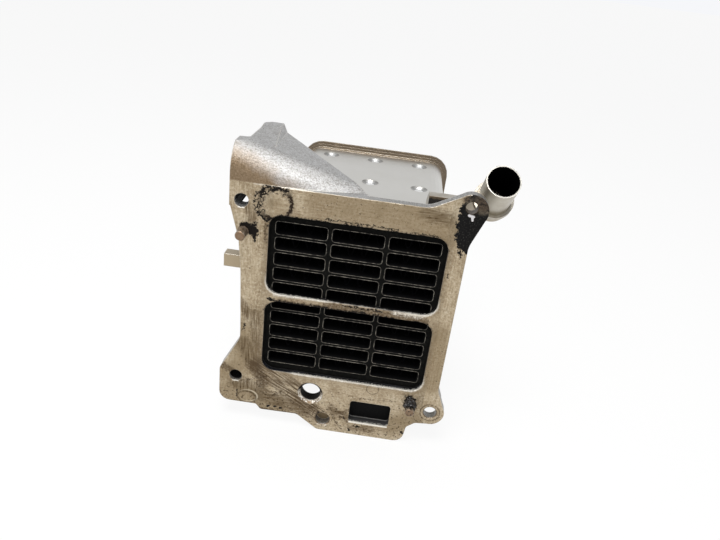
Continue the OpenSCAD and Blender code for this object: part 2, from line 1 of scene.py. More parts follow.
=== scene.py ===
# %% [markdown]
# A used exhaust gas cooler
#
# The real part is a die-cast aluminium frame with two gas windows. Behind the windows stands a bank of flat
# stainless tubes in a dimpled can, and hot exhaust gas has left soot on everything it touched. The packed
# solids already have the shapes, so this lesson is about finishes: it loads the solids as a fixed frame,
# sets the camera and the light, and then gives each metal the surface that its making and its years of use
# gave it.

# %% Load the fixed frame
import math

import bpy
from mathutils import Matrix, Vector


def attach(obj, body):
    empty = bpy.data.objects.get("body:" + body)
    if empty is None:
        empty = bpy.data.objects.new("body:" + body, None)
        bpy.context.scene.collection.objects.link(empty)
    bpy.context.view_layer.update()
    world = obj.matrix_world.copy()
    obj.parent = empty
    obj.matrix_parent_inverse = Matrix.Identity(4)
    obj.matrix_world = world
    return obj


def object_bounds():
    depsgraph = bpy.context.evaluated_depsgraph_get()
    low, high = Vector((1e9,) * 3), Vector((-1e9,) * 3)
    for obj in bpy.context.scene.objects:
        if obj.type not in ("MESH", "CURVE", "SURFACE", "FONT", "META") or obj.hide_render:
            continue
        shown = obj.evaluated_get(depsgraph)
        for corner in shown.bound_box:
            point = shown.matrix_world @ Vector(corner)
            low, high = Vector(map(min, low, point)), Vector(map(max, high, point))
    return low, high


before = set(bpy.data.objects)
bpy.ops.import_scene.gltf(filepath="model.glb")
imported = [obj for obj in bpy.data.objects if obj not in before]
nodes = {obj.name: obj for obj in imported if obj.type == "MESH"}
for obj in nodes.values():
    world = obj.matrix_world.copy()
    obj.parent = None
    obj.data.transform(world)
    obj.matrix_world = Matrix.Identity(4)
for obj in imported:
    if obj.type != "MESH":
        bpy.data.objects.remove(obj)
cad_low, cad_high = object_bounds()
print("nodes:", len(nodes), "box in mm:", [round(1000 * (h - l), 1) for l, h in zip(cad_low, cad_high)])

# %% [markdown]
# The camera
#
# The photograph looks down on the gasket face from a little right of its middle, so the face, the top of
# the can and the mouth of the hose stub all show. Its place, its three directions and its focal length were
# worked out from the corners of the windows and the can. A camera looks along its own minus Z, so the third
# column of its matrix is the backward direction.

# %% Camera
CAMERA_AT = (0.01409, -0.331, 0.19018)
SENSOR_MM, LENS_MM = 36, 31.34
bpy.ops.object.camera_add(location=CAMERA_AT)
camera = bpy.context.object
camera.name = "bench_camera"
right = Vector((0.9894, 0.0888, 0.1145)).normalized()
back = Vector((0.0293, -0.8964, 0.4423)).normalized()
up = back.cross(right).normalized()
right = up.cross(back)
turn = Matrix((right, up, back)).transposed()
camera.rotation_euler = turn.to_euler()
camera.data.sensor_width = SENSOR_MM
camera.data.lens = LENS_MM
camera.data.clip_start = 0.01
bpy.context.scene.camera = camera
print("camera looks along", [round(v, 3) for v in -back])

# %% [markdown]
# Floor, world and lamps
#
# The part stands on its foot on a plain white table. A lamp of P watts at d metres gives a surface that
# faces it about P / (3.14 d^2), and the world gives 3.14 times its strength, so a few watts and a world a
# little below 1 light the part at a plain level, at which colours come out as they are written. The floor
# is part lamp for camera and mirror rays, so it looks white, and part paint, so it keeps the shadow. In a
# Map Range node, inputs 1 and 2 are the range that it reads, and 3 and 4 the range that it gives. The room
# is white at the horizon and darker overhead, so that metal has something to mirror. At the horizon it is
# as white as the far floor, so that no line shows there.


# %% Two small helpers for nodes and colours
def tint(code):
    """A colour from its sRGB hex code to the linear values that nodes want."""
    parts = [int(code[i:i + 2], 16) / 255 for i in (1, 3, 5)]
    return tuple(c / 12.92 if c <= 0.04045 else ((c + 0.055) / 1.055) ** 2.4 for c in parts) + (1.0,)


def add(tree, kind, links=None, **settings):
    """One node with its settings. An input gets a value, a socket or a node, whose first output counts."""
    node = tree.nodes.new(kind)
    for name, value in settings.items():
        setattr(node, name, value)
    for name, value in (links or {}).items():
        if isinstance(value, bpy.types.Node):
            value = value.outputs[0]
        if isinstance(value, bpy.types.NodeSocket):
            tree.links.new(value, node.inputs[name])
        else:
            node.inputs[name].default_value = value
    return node


print("white in linear values:", tint("#FFFFFF"))

# %% Floor
FLOOR_M = 40            # so wide that its edge reaches the horizon
GLOW_SHARE = 0.88       # the rest is paint, which keeps the shadow
floor_z = cad_low.z
bpy.ops.object.select_all(action="DESELECT")
bpy.ops.mesh.primitive_plane_add(size=FLOOR_M, location=(0, 0, floor_z))
floor = bpy.context.object
floor.name = "white_table"
# Satin laminate is an even white without grain, on which only soft shadows show
floor_paint = bpy.data.materials.new("white_laminate_satin")
floor_paint.use_nodes = True
tree = floor_paint.node_tree
tree.nodes.clear()
path = add(tree, "ShaderNodeLightPath").outputs
seen = add(tree, "ShaderNodeMath", {0: path["Is Camera Ray"], 1: path["Is Glossy Ray"]}, operation="MAXIMUM")
seen = add(tree, "ShaderNodeMath", {0: seen, 1: path["Is Transmission Ray"]}, operation="MAXIMUM")
share = add(tree, "ShaderNodeMath", {0: seen, 1: GLOW_SHARE}, operation="MULTIPLY")
matt = add(tree, "ShaderNodeBsdfDiffuse", {"Color": tint("#F4F4F2")})
glow = add(tree, "ShaderNodeEmission", {"Color": (1, 1, 1, 1), "Strength": 1.0})
mixed = add(tree, "ShaderNodeMixShader", {0: share, 1: matt, 2: glow})
add(tree, "ShaderNodeOutputMaterial", {"Surface": mixed})
floor.data.materials.append(floor_paint)
print("floor at", round(1000 * floor_z, 1), "mm")

# %% World
HORIZON, OVERHEAD = 0.98, 0.25      # strength of the room's white low down and high up
LOW_SINE, HIGH_SINE = 0.3, 0.9      # sines of the elevations between which it changes
world = bpy.data.worlds.new("white_room")
bpy.context.scene.world = world
world.use_nodes = True
tree = world.node_tree
tree.nodes.clear()
toward = add(tree, "ShaderNodeSeparateXYZ", {0: add(tree, "ShaderNodeTexCoord").outputs["Generated"]})
level = add(tree, "ShaderNodeMapRange",
            {0: toward.outputs[2], 1: LOW_SINE, 2: HIGH_SINE, 3: HORIZON, 4: OVERHEAD})
room = add(tree, "ShaderNodeBackground", {"Color": tint("#F8F9FC"), "Strength": level})
add(tree, "ShaderNodeOutputWorld", {"Surface": room})
bpy.context.scene.view_settings.view_transform = "Standard"
print("room:", HORIZON, "at the horizon,", OVERHEAD, "overhead")

# %% Lamps
aim = Vector((0.0, 0.03, 0.02))
for name, place, size, watts in [
    ("softbox_overhead", (-0.10, -0.30, 0.80), 0.40, 5.5),
    ("softbox_left", (-0.80, -0.45, 0.35), 0.60, 1.0),
    ("softbox_top", (0.00, 0.20, 0.88), 0.30, 1.6),
]:
    toward = (aim - Vector(place)).to_track_quat("-Z", "Y").to_euler()
    bpy.ops.object.light_add(type="AREA", location=place, rotation=toward)
    lamp = bpy.context.object
    lamp.name = name
    lamp.data.size = size
    lamp.data.energy = watts

# %% [markdown]
# How a finish starts
#
# Every finish begins in the same way: a Principled shader, and the point on the surface in millimetres.
# Object coordinates are used because every solid sits at the origin, so a stain can be given its place in
# the part's own millimetres and stays there from all sides. Stains are drawn as soft spots and soft
# strokes. The distance is measured on the gasket face, so depth is left out.


# %% Starting a finish
def start_finish(name, metallic, roughness, specular=0.5):
    """A material with its shader, and the surface point in millimetres."""
    finish = bpy.data.materials.new(name)
    finish.use_nodes = True
    tree = finish.node_tree
    tree.nodes.clear()
    shader = add(tree, "ShaderNodeBsdfPrincipled",
                 {"Metallic": metallic, "Roughness": roughness, "Specular IOR Level": specular})
    add(tree, "ShaderNodeOutputMaterial", {"Surface": shader})
    where = add(tree, "ShaderNodeTexCoord").outputs["Object"]
    point = add(tree, "ShaderNodeVectorMath", {0: where, "Scale": 1000.0}, operation="SCALE")
    return finish, tree, shader, point


print("ready:", start_finish.__name__)


# %% Spots and strokes
def spot(tree, point, centre, inner, outer):
    """1 within the inner radius of a round mark on the face, 0 beyond the outer one."""
    away = add(tree, "ShaderNodeVectorMath", {0: point, 1: (centre[0], 0, centre[1])}, operation="DISTANCE")
    return add(tree, "ShaderNodeMapRange", {0: away.outputs["Value"], 1: inner, 2: outer, 3: 1.0, 4: 0.0},
               interpolation_type="SMOOTHSTEP")


def stroke(tree, point, start, end, half, soft):
    """1 along a straight mark on the face from start to end, 0 beyond its half width and soft edge."""
    a = Vector((start[0], 0, start[1]))
    ab = Vector((end[0], 0, end[1])) - a
    rel = add(tree, "ShaderNodeVectorMath", {0: point, 1: a}, operation="SUBTRACT")
    along = add(tree, "ShaderNodeVectorMath", {0: rel, 1: ab / ab.length_squared}, operation="DOT_PRODUCT")
    held = add(tree, "ShaderNodeClamp", {"Value": along.outputs["Value"]})
    near = add(tree, "ShaderNodeVectorMath", {0: ab, "Scale": held}, operation="SCALE")
    away = add(tree, "ShaderNodeVectorMath", {0: rel, 1: near}, operation="DISTANCE")
    return add(tree, "ShaderNodeMapRange",
               {0: away.outputs["Value"], 1: half, 2: half + soft, 3: 1.0, 4: 0.0},
               interpolation_type="SMOOTHSTEP")


print("ready:", [helper.__name__ for helper in (spot, stroke)])


# %% Marks put together
def strongest(tree, marks):
    """The strongest of several marks at each point."""
    most = marks[0]
    for mark in marks[1:]:
        most = add(tree, "ShaderNodeMath", {0: most, 1: mark}, operation="MAXIMUM")
    return most


def overlap(tree, marks):
    """Where several marks or zones lie on each other: the product of their strengths."""
    most = marks[0]
    for mark in marks[1:]:
        most = add(tree, "ShaderNodeMath", {0: most, 1: mark}, operation="MULTIPLY")
    return most


def without(tree, mark, others):
    """A mark with other marks taken away from it."""
    for other in others:
        mark = add(tree, "ShaderNodeMath", {0: mark, 1: other}, operation="SUBTRACT", use_clamp=True)
    return mark


def off_by(tree, value, middle):
    """How far a value lies from a middle one, on either side."""
    off = add(tree, "ShaderNodeMath", {0: value, 1: middle}, operation="SUBTRACT")
    return add(tree, "ShaderNodeMath", {0: off}, operation="ABSOLUTE")


print("ready:", [helper.__name__ for helper in (strongest, overlap, without, off_by)])


# %% Layers of colour, and joining them to the shader
def layered(tree, ground, layers):
    """A ground colour with stains laid over it, each by its own amount."""
    colour = ground
    for amount, code in layers:
        colour = add(tree, "ShaderNodeMix",
                     {0: amount, 6: colour, 7: tint(code)}, data_type="RGBA").outputs[2]
    return colour


def wire(tree, shader, inputs):
    """Joins finished patterns to the shader's own inputs."""
    for name, value in inputs.items():
        socket = value.outputs[0] if isinstance(value, bpy.types.Node) else value
        tree.links.new(socket, shader.inputs[name])


print("ready:", [helper.__name__ for helper in (layered, wire)])

# %% [markdown]
# The casting
#
# Die-cast aluminium, sand-blasted all over, then machined flat on the gasket face. Gas, oil and old sealant
# have stained the face a warm brown-grey; the horn above it kept the bright blasted grain. It could be made
# from several objects with a material each, but the real thing is one casting, so one material tells its
# zones apart: by depth (the face lies at Y = 0), by height, and by which way the surface looks. A Bevel
# node rounds the sharp edges of the solids for the light, and where it turns the normal most, the edge is
# worn bright.

# %% The casting's zones
FACE_Y = (0.10, 0.35)       # depths in mm between which the flat face ends
HORN_Z = (71.0, 71.8)       # heights between which the face gives way to the horn
EAR_X = (20.0, 21.0)        # right of this the face goes on up to the ear
# Blasting gives a rough silver full of small sparks, and milling a flatter sheen with fine lines
casting, tree, shader, point = start_finish("cast_aluminium_blasted_and_machined", 0.8, 0.45)
flat = add(tree, "ShaderNodeVectorMath", {0: point, 1: (1, 0, 1)}, operation="MULTIPLY")
x, y, z = add(tree, "ShaderNodeSeparateXYZ", {0: point}).outputs
bevel = add(tree, "ShaderNodeBevel", {"Radius": 0.0010}, samples=6)
looks = add(tree, "ShaderNodeSeparateXYZ", {0: bevel}).outputs
up_facing = add(tree, "ShaderNodeMapRange", {0: looks[2], 1: 0.08, 2: 0.55}, interpolation_type="SMOOTHSTEP")
front = add(tree, "ShaderNodeMapRange", {0: y, 1: FACE_Y[0], 2: FACE_Y[1], 3: 1.0, 4: 0.0})
below_horn = add(tree, "ShaderNodeMapRange", {0: z, 1: HORN_Z[0], 2: HORN_Z[1], 3: 1.0, 4: 0.0})
near_ear = add(tree, "ShaderNodeMapRange", {0: x, 1: EAR_X[0], 2: EAR_X[1]})
face_height = strongest(tree, [below_horn, near_ear])
on_face = overlap(tree, [front, face_height])
print("zones of the casting:", len(tree.nodes), "nodes so far")

# %% [markdown]
# Grain and cloudiness
#
# A blasted skin sparkles from thousands of small pits, a milled face has fine lines, and stains are cloudy
# with torn edges. Each could be painted by hand, but a noise pattern with its scale taken from a real size
# in millimetres is even from all sides. The lines run across the face and turn upright on its two columns.

# %% The casting's grain
GRIT_MM = 0.9       # blasting grit marks, drawn coarse enough to show
GRAIN_MM = 1.5      # fine speckle of the machined face, drawn coarse enough to show
STAIN_MM = 15.0     # cloudy brown stains
RAG_MM = 1.7        # ragged edges of stains
WORM_MM = 2.9       # cracked lines of dried oil
MILL_MM = 0.8       # lines of the milling cutter and of wiping, drawn coarse enough to show
# Each pattern: its size, its levels of detail, and how strong the finer levels are
PATTERNS = [(GRIT_MM, 3.0, 0.7), (GRAIN_MM, 4.0, 0.78), (STAIN_MM, 6.0, 0.62),
            (RAG_MM, 3.0, 0.6), (WORM_MM, 3.0, 0.6)]
grit, grain, cloud, rag, worm = [
    add(tree, "ShaderNodeTexNoise",
        {"Vector": point, "Scale": 1 / size, "Detail": levels, "Roughness": fineness})
    for size, levels, fineness in PATTERNS]
across = add(tree, "ShaderNodeMapping",
             {"Vector": point, "Rotation": (0, math.radians(5), 0), "Scale": (0.07, 1, 1)})
down = add(tree, "ShaderNodeMapping",
           {"Vector": point, "Rotation": (0, math.radians(-12), 0), "Scale": (1, 1, 0.07)})
wide_x = add(tree, "ShaderNodeMath", {0: x}, operation="ABSOLUTE")
columns = add(tree, "ShaderNodeMapRange", {0: wide_x, 1: 50.0, 2: 55.0})
combed = add(tree, "ShaderNodeMix", {0: columns, 4: across, 5: down}, data_type="VECTOR").outputs[1]
milling = add(tree, "ShaderNodeTexNoise",
              {"Vector": combed, "Scale": 1 / MILL_MM, "Detail": 3.0, "Roughness": 0.6})
shift = add(tree, "ShaderNodeVectorMath", {0: rag.outputs["Color"], 1: (6, 0, 6), 2: (-3, 0, -3)},
            operation="MULTIPLY_ADD")
ragged = add(tree, "ShaderNodeVectorMath", {0: flat, 1: shift}, operation="ADD")
worm_off = off_by(tree, worm, 0.5)
worms = add(tree, "ShaderNodeMapRange", {0: worm_off, 1: 0.030, 2: 0.055, 3: 1.0, 4: 0.0})
print("grain in mm:", [GRIT_MM, GRAIN_MM, STAIN_MM, RAG_MM, WORM_MM, MILL_MM])

# %% [markdown]
# The edges of the windows
#
# Soot creeps out of the windows and flakes along their upper edges, and their lower edges carry a painted
# highlight. Both follow the edge, so the material needs the distance from it. The two windows are rounded
# rectangles that mirror each other, so folding the face over twice and measuring from one corner gives the
# distance from both.

# %% Distance from the two windows
# A window's middle height, its half sizes and its corner radius, in mm
MID_Z, HALF_X, HALF_Z, ROUND = 28.25, 52.2, 25.75, 8.0
away = add(tree, "ShaderNodeVectorMath", {0: flat}, operation="ABSOLUTE")
away = add(tree, "ShaderNodeVectorMath", {0: away, 1: (0, 0, MID_Z)}, operation="SUBTRACT")
away = add(tree, "ShaderNodeVectorMath", {0: away}, operation="ABSOLUTE")
away = add(tree, "ShaderNodeVectorMath",
           {0: away, 1: (HALF_X - ROUND, 0, HALF_Z - ROUND)}, operation="SUBTRACT")
away = add(tree, "ShaderNodeVectorMath", {0: away, 1: (0, 0, 0)}, operation="MAXIMUM")
away = add(tree, "ShaderNodeVectorMath", {0: away}, operation="LENGTH")
edge_gap = add(tree, "ShaderNodeMath", {0: away.outputs["Value"], 1: ROUND}, operation="SUBTRACT")
half_of = add(tree, "ShaderNodeMath", {0: z}, operation="SIGN")
from_mid = add(tree, "ShaderNodeMath", {0: half_of, 1: -MID_Z, 2: z}, operation="MULTIPLY_ADD")
lower_side = add(tree, "ShaderNodeMapRange", {0: from_mid, 1: -12.0, 2: -21.0})
upper_side = add(tree, "ShaderNodeMapRange", {0: from_mid, 1: 14.0, 2: 22.0, 3: 0.35, 4: 1.0})
print("windows:", 2 * HALF_X, "x", 2 * HALF_Z, "mm")

# %% Bright lips of the windows
# The lower edges of both windows get a painted highlight on the face just below them
grain_mm = add(tree, "ShaderNodeMath", {0: grain, 1: 4.0, 2: -2.0}, operation="MULTIPLY_ADD")
lip_gap = add(tree, "ShaderNodeMath", {0: edge_gap, 1: grain_mm}, operation="ADD")
lip_glint = add(tree, "ShaderNodeMapRange", {0: lip_gap, 1: 0.1, 2: 1.3, 3: 0.9, 4: 0.0})
lip_glint = overlap(tree, [lip_glint, lower_side])
from_rib = add(tree, "ShaderNodeMath", {0: z}, operation="ABSOLUTE")
near_rib = add(tree, "ShaderNodeMapRange", {0: from_rib, 1: 4.0, 2: 6.0, 3: 1.0, 4: 0.0})
rib_middle = stroke(tree, ragged, (-2, 1), (22, 1), 3.0, 14.0)
lip_dull = overlap(tree, [near_rib, rib_middle])
left_corner = stroke(tree, flat, (-54.0, -40.0), (-42.0, -56.0), 6.0, 6.0)
lip_glint = without(tree, lip_glint, [lip_dull, left_corner])
print("lips of the windows:", len(tree.nodes), "nodes so far")

# %% Other bright lips, and the shine on the rib
# Each mark below is a stroke: its two ends as X and Z in mm, its half width and the width of its soft edge
# Painted highlights on the lower lips of the pocket, the blind hole and two bolt holes, and on the rib's top
LOW_LIPS = [((9.0, -86.2), (33.8, -86.2), 0.3, 0.7), ((-12.0, -91.9), (-6.4, -91.9), 0.1, 0.6),
            ((-70.6, -66.2), (-67.0, -66.2), 0.05, 0.5), ((-70.6, 55.7), (-67.0, 55.7), 0.05, 0.5)]
RIB_SHINE = [((27.0, 1.6), (44.0, 1.4), 0.2, 2.2), ((-47.0, 2.2), (-36.0, 2.1), 0.0, 1.4)]
lip_glint = strongest(tree, [lip_glint] + [stroke(tree, flat, *lip) for lip in LOW_LIPS])
rib_shine = strongest(tree, [stroke(tree, ragged, *s) for s in RIB_SHINE])
rib_level = add(tree, "ShaderNodeMapRange", {0: grain, 1: 0.40, 2: 0.60, 3: 0.2, 4: 0.8})
rib_shine = overlap(tree, [rib_shine, rib_level])
lip_glint = strongest(tree, [lip_glint, rib_shine])
print("other lips:", len(LOW_LIPS), "shines on the rib:", len(RIB_SHINE))

# %% Soot that flakes at the windows
rag_mm = add(tree, "ShaderNodeMath", {0: rag, 1: 5.0, 2: -2.5}, operation="MULTIPLY_ADD")
ragged_gap = add(tree, "ShaderNodeMath", {0: edge_gap, 1: rag_mm}, operation="ADD")
flake = add(tree, "ShaderNodeMapRange", {0: ragged_gap, 1: 0.2, 2: 0.8, 3: 1.0, 4: 0.0})
flake_gaps = add(tree, "ShaderNodeMapRange", {0: cloud, 1: 0.44, 2: 0.54})
flake = overlap(tree, [flake, flake_gaps, upper_side])
halo = add(tree, "ShaderNodeMapRange", {0: ragged_gap, 1: 0.0, 2: 5.0, 3: 0.45, 4: 0.0})
print("flakes:", len(tree.nodes), "nodes so far")

# %% [markdown]
# Soot and old sealant
#
# A neighbour was once sealed against the face, and it left a torn ring, drips and specks of black. They
# could be thin pieces, but they have hardly any thickness, so they are strokes with edges torn by noise.

# %% The ring of old sealant
RING_AT, RING_R = (-49.4, 60.6), 9.6
from_ring = add(tree, "ShaderNodeVectorMath",
                {0: ragged, 1: (RING_AT[0], 0, RING_AT[1])}, operation="SUBTRACT")
ring_away = add(tree, "ShaderNodeVectorMath", {0: from_ring}, operation="LENGTH")
ring_off = off_by(tree, ring_away.outputs["Value"], RING_R)
ring_turn = add(tree, "ShaderNodeVectorMath", {0: from_ring, 1: (-0.7, 0, 0.7)}, operation="DOT_PRODUCT")
ring_left = add(tree, "ShaderNodeMapRange", {0: ring_turn.outputs["Value"], 1: -2.5, 2: 1.5})
# Bands along the ring: how far from its line each is full, how far it reaches, and its strength
BANDS = [(2.4, 3.6, 1.0), (1.2, 2.0, 1.0), (0.6, 1.5, 1.0), (0.5, 4.5, 0.5)]
ring_band, ring_core, ring_line, ring_veil = [
    add(tree, "ShaderNodeMapRange", {0: ring_off, 1: full, 2: reach, 3: most, 4: 0.0})
    for full, reach, most in BANDS]
ring_worms = overlap(tree, [ring_band, worms, ring_left])
ring_high = add(tree, "ShaderNodeVectorMath", {0: from_ring, 1: (-0.25, 0, 0.97)}, operation="DOT_PRODUCT")
ring_top = add(tree, "ShaderNodeMapRange", {0: ring_high.outputs["Value"], 1: 4.0, 2: 6.5})
ring_thick = add(tree, "ShaderNodeMapRange", {0: worm_off, 1: 0.06, 2: 0.09, 3: 1.0, 4: 0.0})
ring_thick = overlap(tree, [ring_thick, ring_top, ring_core])
ring_right = add(tree, "ShaderNodeMapRange", {0: ring_left, 3: 1.0, 4: 0.35})
ring_line = overlap(tree, [ring_line, ring_right])
print("ring of sealant at", RING_AT, "radius", RING_R, "mm")

# %% Drips, flakes and specks of soot
SOOT_STROKES = [
    ((-51.5, 68.6), (-49.5, 69.6), 0.8, 1.0),
    ((-66.2, 44.6), (-61.0, 41.8), 2.5, 0.8),
    ((-62.0, 45.5), (-60.0, 46.5), 0.8, 1.0),
    ((-60.6, 42.0), (-60.3, 36.4), 0.7, 0.6),
    ((-59.0, 53.6), (-53.6, 49.4), 0.5, 0.6),
    ((-54.1, 49.8), (-44.5, 54.4), 0.3, 0.6),
    ((-20.0, 55.8), (22.0, 55.2), 0.05, 0.7),
    ((30.0, 54.8), (46.0, 54.6), 0.05, 0.6),
    ((-50.5, -1.2), (-46.5, -2.2), 0.6, 0.5),
    ((-4.0, 1.4), (20.0, 0.8), 0.2, 0.7),
    ((-48.0, -2.2), (18.0, -2.3), 0.3, 0.6),
    ((2.0, -1.0), (9.0, -1.2), 0.2, 0.6),
    ((-46.3, -82.9), (-46.0, -83.0), 0.7, 0.6),
    ((-41.9, -83.1), (-41.5, -83.2), 0.7, 0.6),
    ((-37.8, -82.9), (-37.4, -83.0), 0.6, 0.6),
    ((14.3, -89.2), (14.8, -89.2), 0.8, 0.6),
    ((8.8, -92.7), (9.4, -92.9), 0.7, 0.6),
    ((4.5, -83.3), (4.8, -84.2), 0.6, 0.5),
    ((44.3, -88.8), (44.8, -88.6), 0.8, 0.6),
    ((46.2, -61.2), (46.6, -66.4), 3.3, 0.5),
    ((49.0, -61.5), (50.5, -60.5), 0.3, 0.5),
    ((43.5, -60.6), (42.6, -58.8), 0.2, 0.5),
    ((50.6, -65.0), (51.2, -67.0), 0.3, 0.5),
    ((-64.5, -22.0), (-64.6, -26.0), 0.2, 0.5),
    ((-67.4, -72.6), (-67.7, -79.0), 0.2, 0.5),
    ((54.5, 32.5), (54.8, 30.5), 0.3, 0.6),
    ((58.0, 47.2), (59.2, 46.0), 0.6, 0.7),
    ((59.4, 44.6), (59.6, 43.8), 0.3, 0.6),
    ((-12.5, -84.0), (-10.5, -82.4), 0.5, 1.2),
]
soot = strongest(tree, [stroke(tree, ragged, *s) for s in SOOT_STROKES] + [ring_worms, ring_thick, flake])
print("soot strokes:", len(SOOT_STROKES))

# %% [markdown]
# The crust on the upper right ear
#
# A smear of black sealant covers this ear, and its left edge is torn. Straight strokes would not follow
# that edge, so it is a curve: for each height it gives the X at which the crust begins, and noise tears it.
# Chips and thin places let the metal through.

# %% Edge of the crust
CRUST_LOW, CRUST_HIGH = 44.0, 84.0      # heights between which the edge is drawn
EDGE_X, EDGE_SPAN = 50.0, 15.0          # X at the curve's 0, and the mm from there to its 1
EDGE_OF_CRUST = [(44, 64.5), (47, 60.5), (50, 57.0), (55, 54.8), (60, 54.0),
                 (65, 53.4), (70, 53.6), (75, 54.4), (80, 56.8), (84, 61)]
ragged_x, _, ragged_z = add(tree, "ShaderNodeSeparateXYZ", {0: ragged}).outputs
crust_height = add(tree, "ShaderNodeMapRange", {0: ragged_z, 1: CRUST_LOW, 2: CRUST_HIGH})
crust_edge = add(tree, "ShaderNodeFloatCurve", {"Value": crust_height})
line = crust_edge.mapping.curves[0]
places = [((height - CRUST_LOW) / (CRUST_HIGH - CRUST_LOW), (edge_x - EDGE_X) / EDGE_SPAN)
          for height, edge_x in EDGE_OF_CRUST]
line.points[0].location, line.points[1].location = places[0], places[-1]
for place in places[1:-1]:
    line.points.new(*place)
crust_edge.mapping.update()
crust_x = add(tree, "ShaderNodeMath", {0: crust_edge, 1: EDGE_SPAN, 2: EDGE_X}, operation="MULTIPLY_ADD")
past = add(tree, "ShaderNodeMath", {0: ragged_x, 1: crust_x}, operation="SUBTRACT")
torn = add(tree, "ShaderNodeMath", {0: worm, 1: 0.5}, operation="SUBTRACT")
past = add(tree, "ShaderNodeMath", {0: torn, 1: 7.0, 2: past}, operation="MULTIPLY_ADD")
crust = add(tree, "ShaderNodeMapRange", {0: past, 1: 0.0, 2: 0.4})
crust_low = add(tree, "ShaderNodeMapRange", {0: ragged_z, 1: 45.5, 2: 46.5})
crust = overlap(tree, [crust, crust_low])
print("edge of the crust:", len(line.points), "points")

# %% Chips, thin places and glints of the crust
# The crust's glints, and those on the crust by the lower pin, are painted highlights
crust_glint = add(tree, "ShaderNodeMapRange", {0: grit, 1: 0.55, 2: 0.66, 4: 0.6})
CHIPS = [((59.7, 69.9), (62.2, 69.4), 0.5, 0.5), ((61.4, 69.4), (62.0, 67.4), 0.4, 0.5)]
chip = strongest(tree, [stroke(tree, flat, *c) for c in CHIPS])
thin_crust = strongest(tree, [spot(tree, flat, (66.5, 77.5), 3.0, 7.5),
                              spot(tree, flat, (57.0, 79.0), 0.5, 4.0)])
thin_breaks = add(tree, "ShaderNodeMapRange", {0: grain, 1: 0.40, 2: 0.60, 3: 0.1, 4: 0.75})
thinned = overlap(tree, [thin_crust, thin_breaks])
thin_brown = add(tree, "ShaderNodeMath", {0: thin_crust, 1: 0.9}, operation="MULTIPLY")
bare = strongest(tree, [chip, thinned])
crust = without(tree, crust, [bare])
crust_glint = overlap(tree, [crust_glint, crust])
pin_glint = stroke(tree, flat, (46.2, -61.6), (46.6, -67.0), 2.0, 1.0)
glint_spots = add(tree, "ShaderNodeMapRange", {0: grit, 1: 0.58, 2: 0.64, 4: 0.9})
pin_glint = overlap(tree, [pin_glint, glint_spots])
print("crust:", len(tree.nodes), "nodes so far")

# %% [markdown]
# Smears, scratches and casting marks
#
# Hot oil ran over the heel and was wiped, ejector pins left rings in the casting, and handling left fine
# scratches. Wiping draws long streaks, so its noise is stretched along the wipe. The rings are ellipses,
# and the scratches are thin strokes, broken up by the grain.

# %% Wiped and brown smears
smear_zone = strongest(tree, [
    stroke(tree, flat, (-54, -53), (-24, -70), 4.5, 6.0),
    stroke(tree, flat, (-36, -66), (-12, -84), 3.0, 5.0),
])
smeared = add(tree, "ShaderNodeMapping", {"Vector": flat, "Rotation": (0, math.radians(-30), 0)})
smeared = add(tree, "ShaderNodeVectorMath", {0: smeared, 1: (0.05, 1.0, 1.0)}, operation="MULTIPLY")
wiping = add(tree, "ShaderNodeTexNoise", {"Vector": smeared, "Scale": 1.0, "Detail": 3.0, "Roughness": 0.6})
wiped = add(tree, "ShaderNodeMapRange", {0: wiping, 1: 0.40, 2: 0.56, 4: 0.95})
smears = overlap(tree, [smear_zone, wiped])
BROWN_STROKES = [
    ((-54.0, 47.0), (-54.2, 37.0), 0.3, 0.9),
    ((-78.0, -55.5), (-72.0, -58.0), 1.4, 2.0),
    ((-17.5, -78.5), (-13.5, -82.5), 1.2, 2.2),
    ((-4.3, -81.1), (3.1, -92.8), 0.05, 0.5),
    ((-55.1, -65.8), (-48.8, -59.7), 0.15, 0.6),
    ((-44.0, -73.8), (-38.5, -69.6), 0.15, 0.6),
    ((1.0, -80.5), (9.0, -75.5), 0.4, 1.2),
    ((-52.0, -86.0), (-30.0, -86.6), 0.5, 1.2),
    ((-14.0, -0.2), (26.0, -0.6), 1.5, 1.4),
    ((-44.0, -1.9), (-16.0, -1.8), 0.8, 1.2),
    ((24.0, -1.4), (47.0, -1.6), 1.6, 1.4),
    ((-57.0, -52.0), (-50.0, -64.0), 1.5, 4.0),
]
brown = strongest(tree, [stroke(tree, ragged, *s) for s in BROWN_STROKES])
brown_level = add(tree, "ShaderNodeMapRange", {0: grain, 1: 0.40, 2: 0.60, 3: 0.95, 4: 0.45})
brown = overlap(tree, [brown, brown_level])
print("brown strokes:", len(BROWN_STROKES))

# %% Casting rings
# Each ring: its centre, its two radii in mm, and its width as a share of them.
# The last is the oval's lit edge
RINGS = [((21.3, -57.2), (3.9, 3.9), 0.13), ((-36.2, -70.5), (2.6, 2.2), 0.2),
         ((60.5, -69.1), (6.4, 6.4), 0.10), ((-61.0, -78.2), (6.2, 4.6), 0.16),
         ((-60.3, -77.0), (6.4, 4.6), 0.14)]
ring_marks = []
for centre, radii, wide in RINGS:
    rel = add(tree, "ShaderNodeVectorMath", {0: flat, 1: (centre[0], 0, centre[1])}, operation="SUBTRACT")
    rel = add(tree, "ShaderNodeVectorMath",
              {0: rel, 1: (1 / radii[0], 0, 1 / radii[1])}, operation="MULTIPLY")
    reach = add(tree, "ShaderNodeVectorMath", {0: rel}, operation="LENGTH")
    off = off_by(tree, reach.outputs["Value"], 1.0)
    ring_marks.append(add(tree, "ShaderNodeMapRange", {0: off, 1: 0.2 * wide, 2: wide, 3: 0.8, 4: 0.0}))
arc_breaks = add(tree, "ShaderNodeMapRange", {0: grain, 1: 0.56, 2: 0.44, 3: 0.55, 4: 1.0})
cast_rings = overlap(tree, [strongest(tree, ring_marks[:-1]), arc_breaks])
oval_right = add(tree, "ShaderNodeMapRange", {0: x, 1: -66.0, 2: -58.0})
oval = overlap(tree, [ring_marks[-1], oval_right])
print("rings:", len(RINGS))

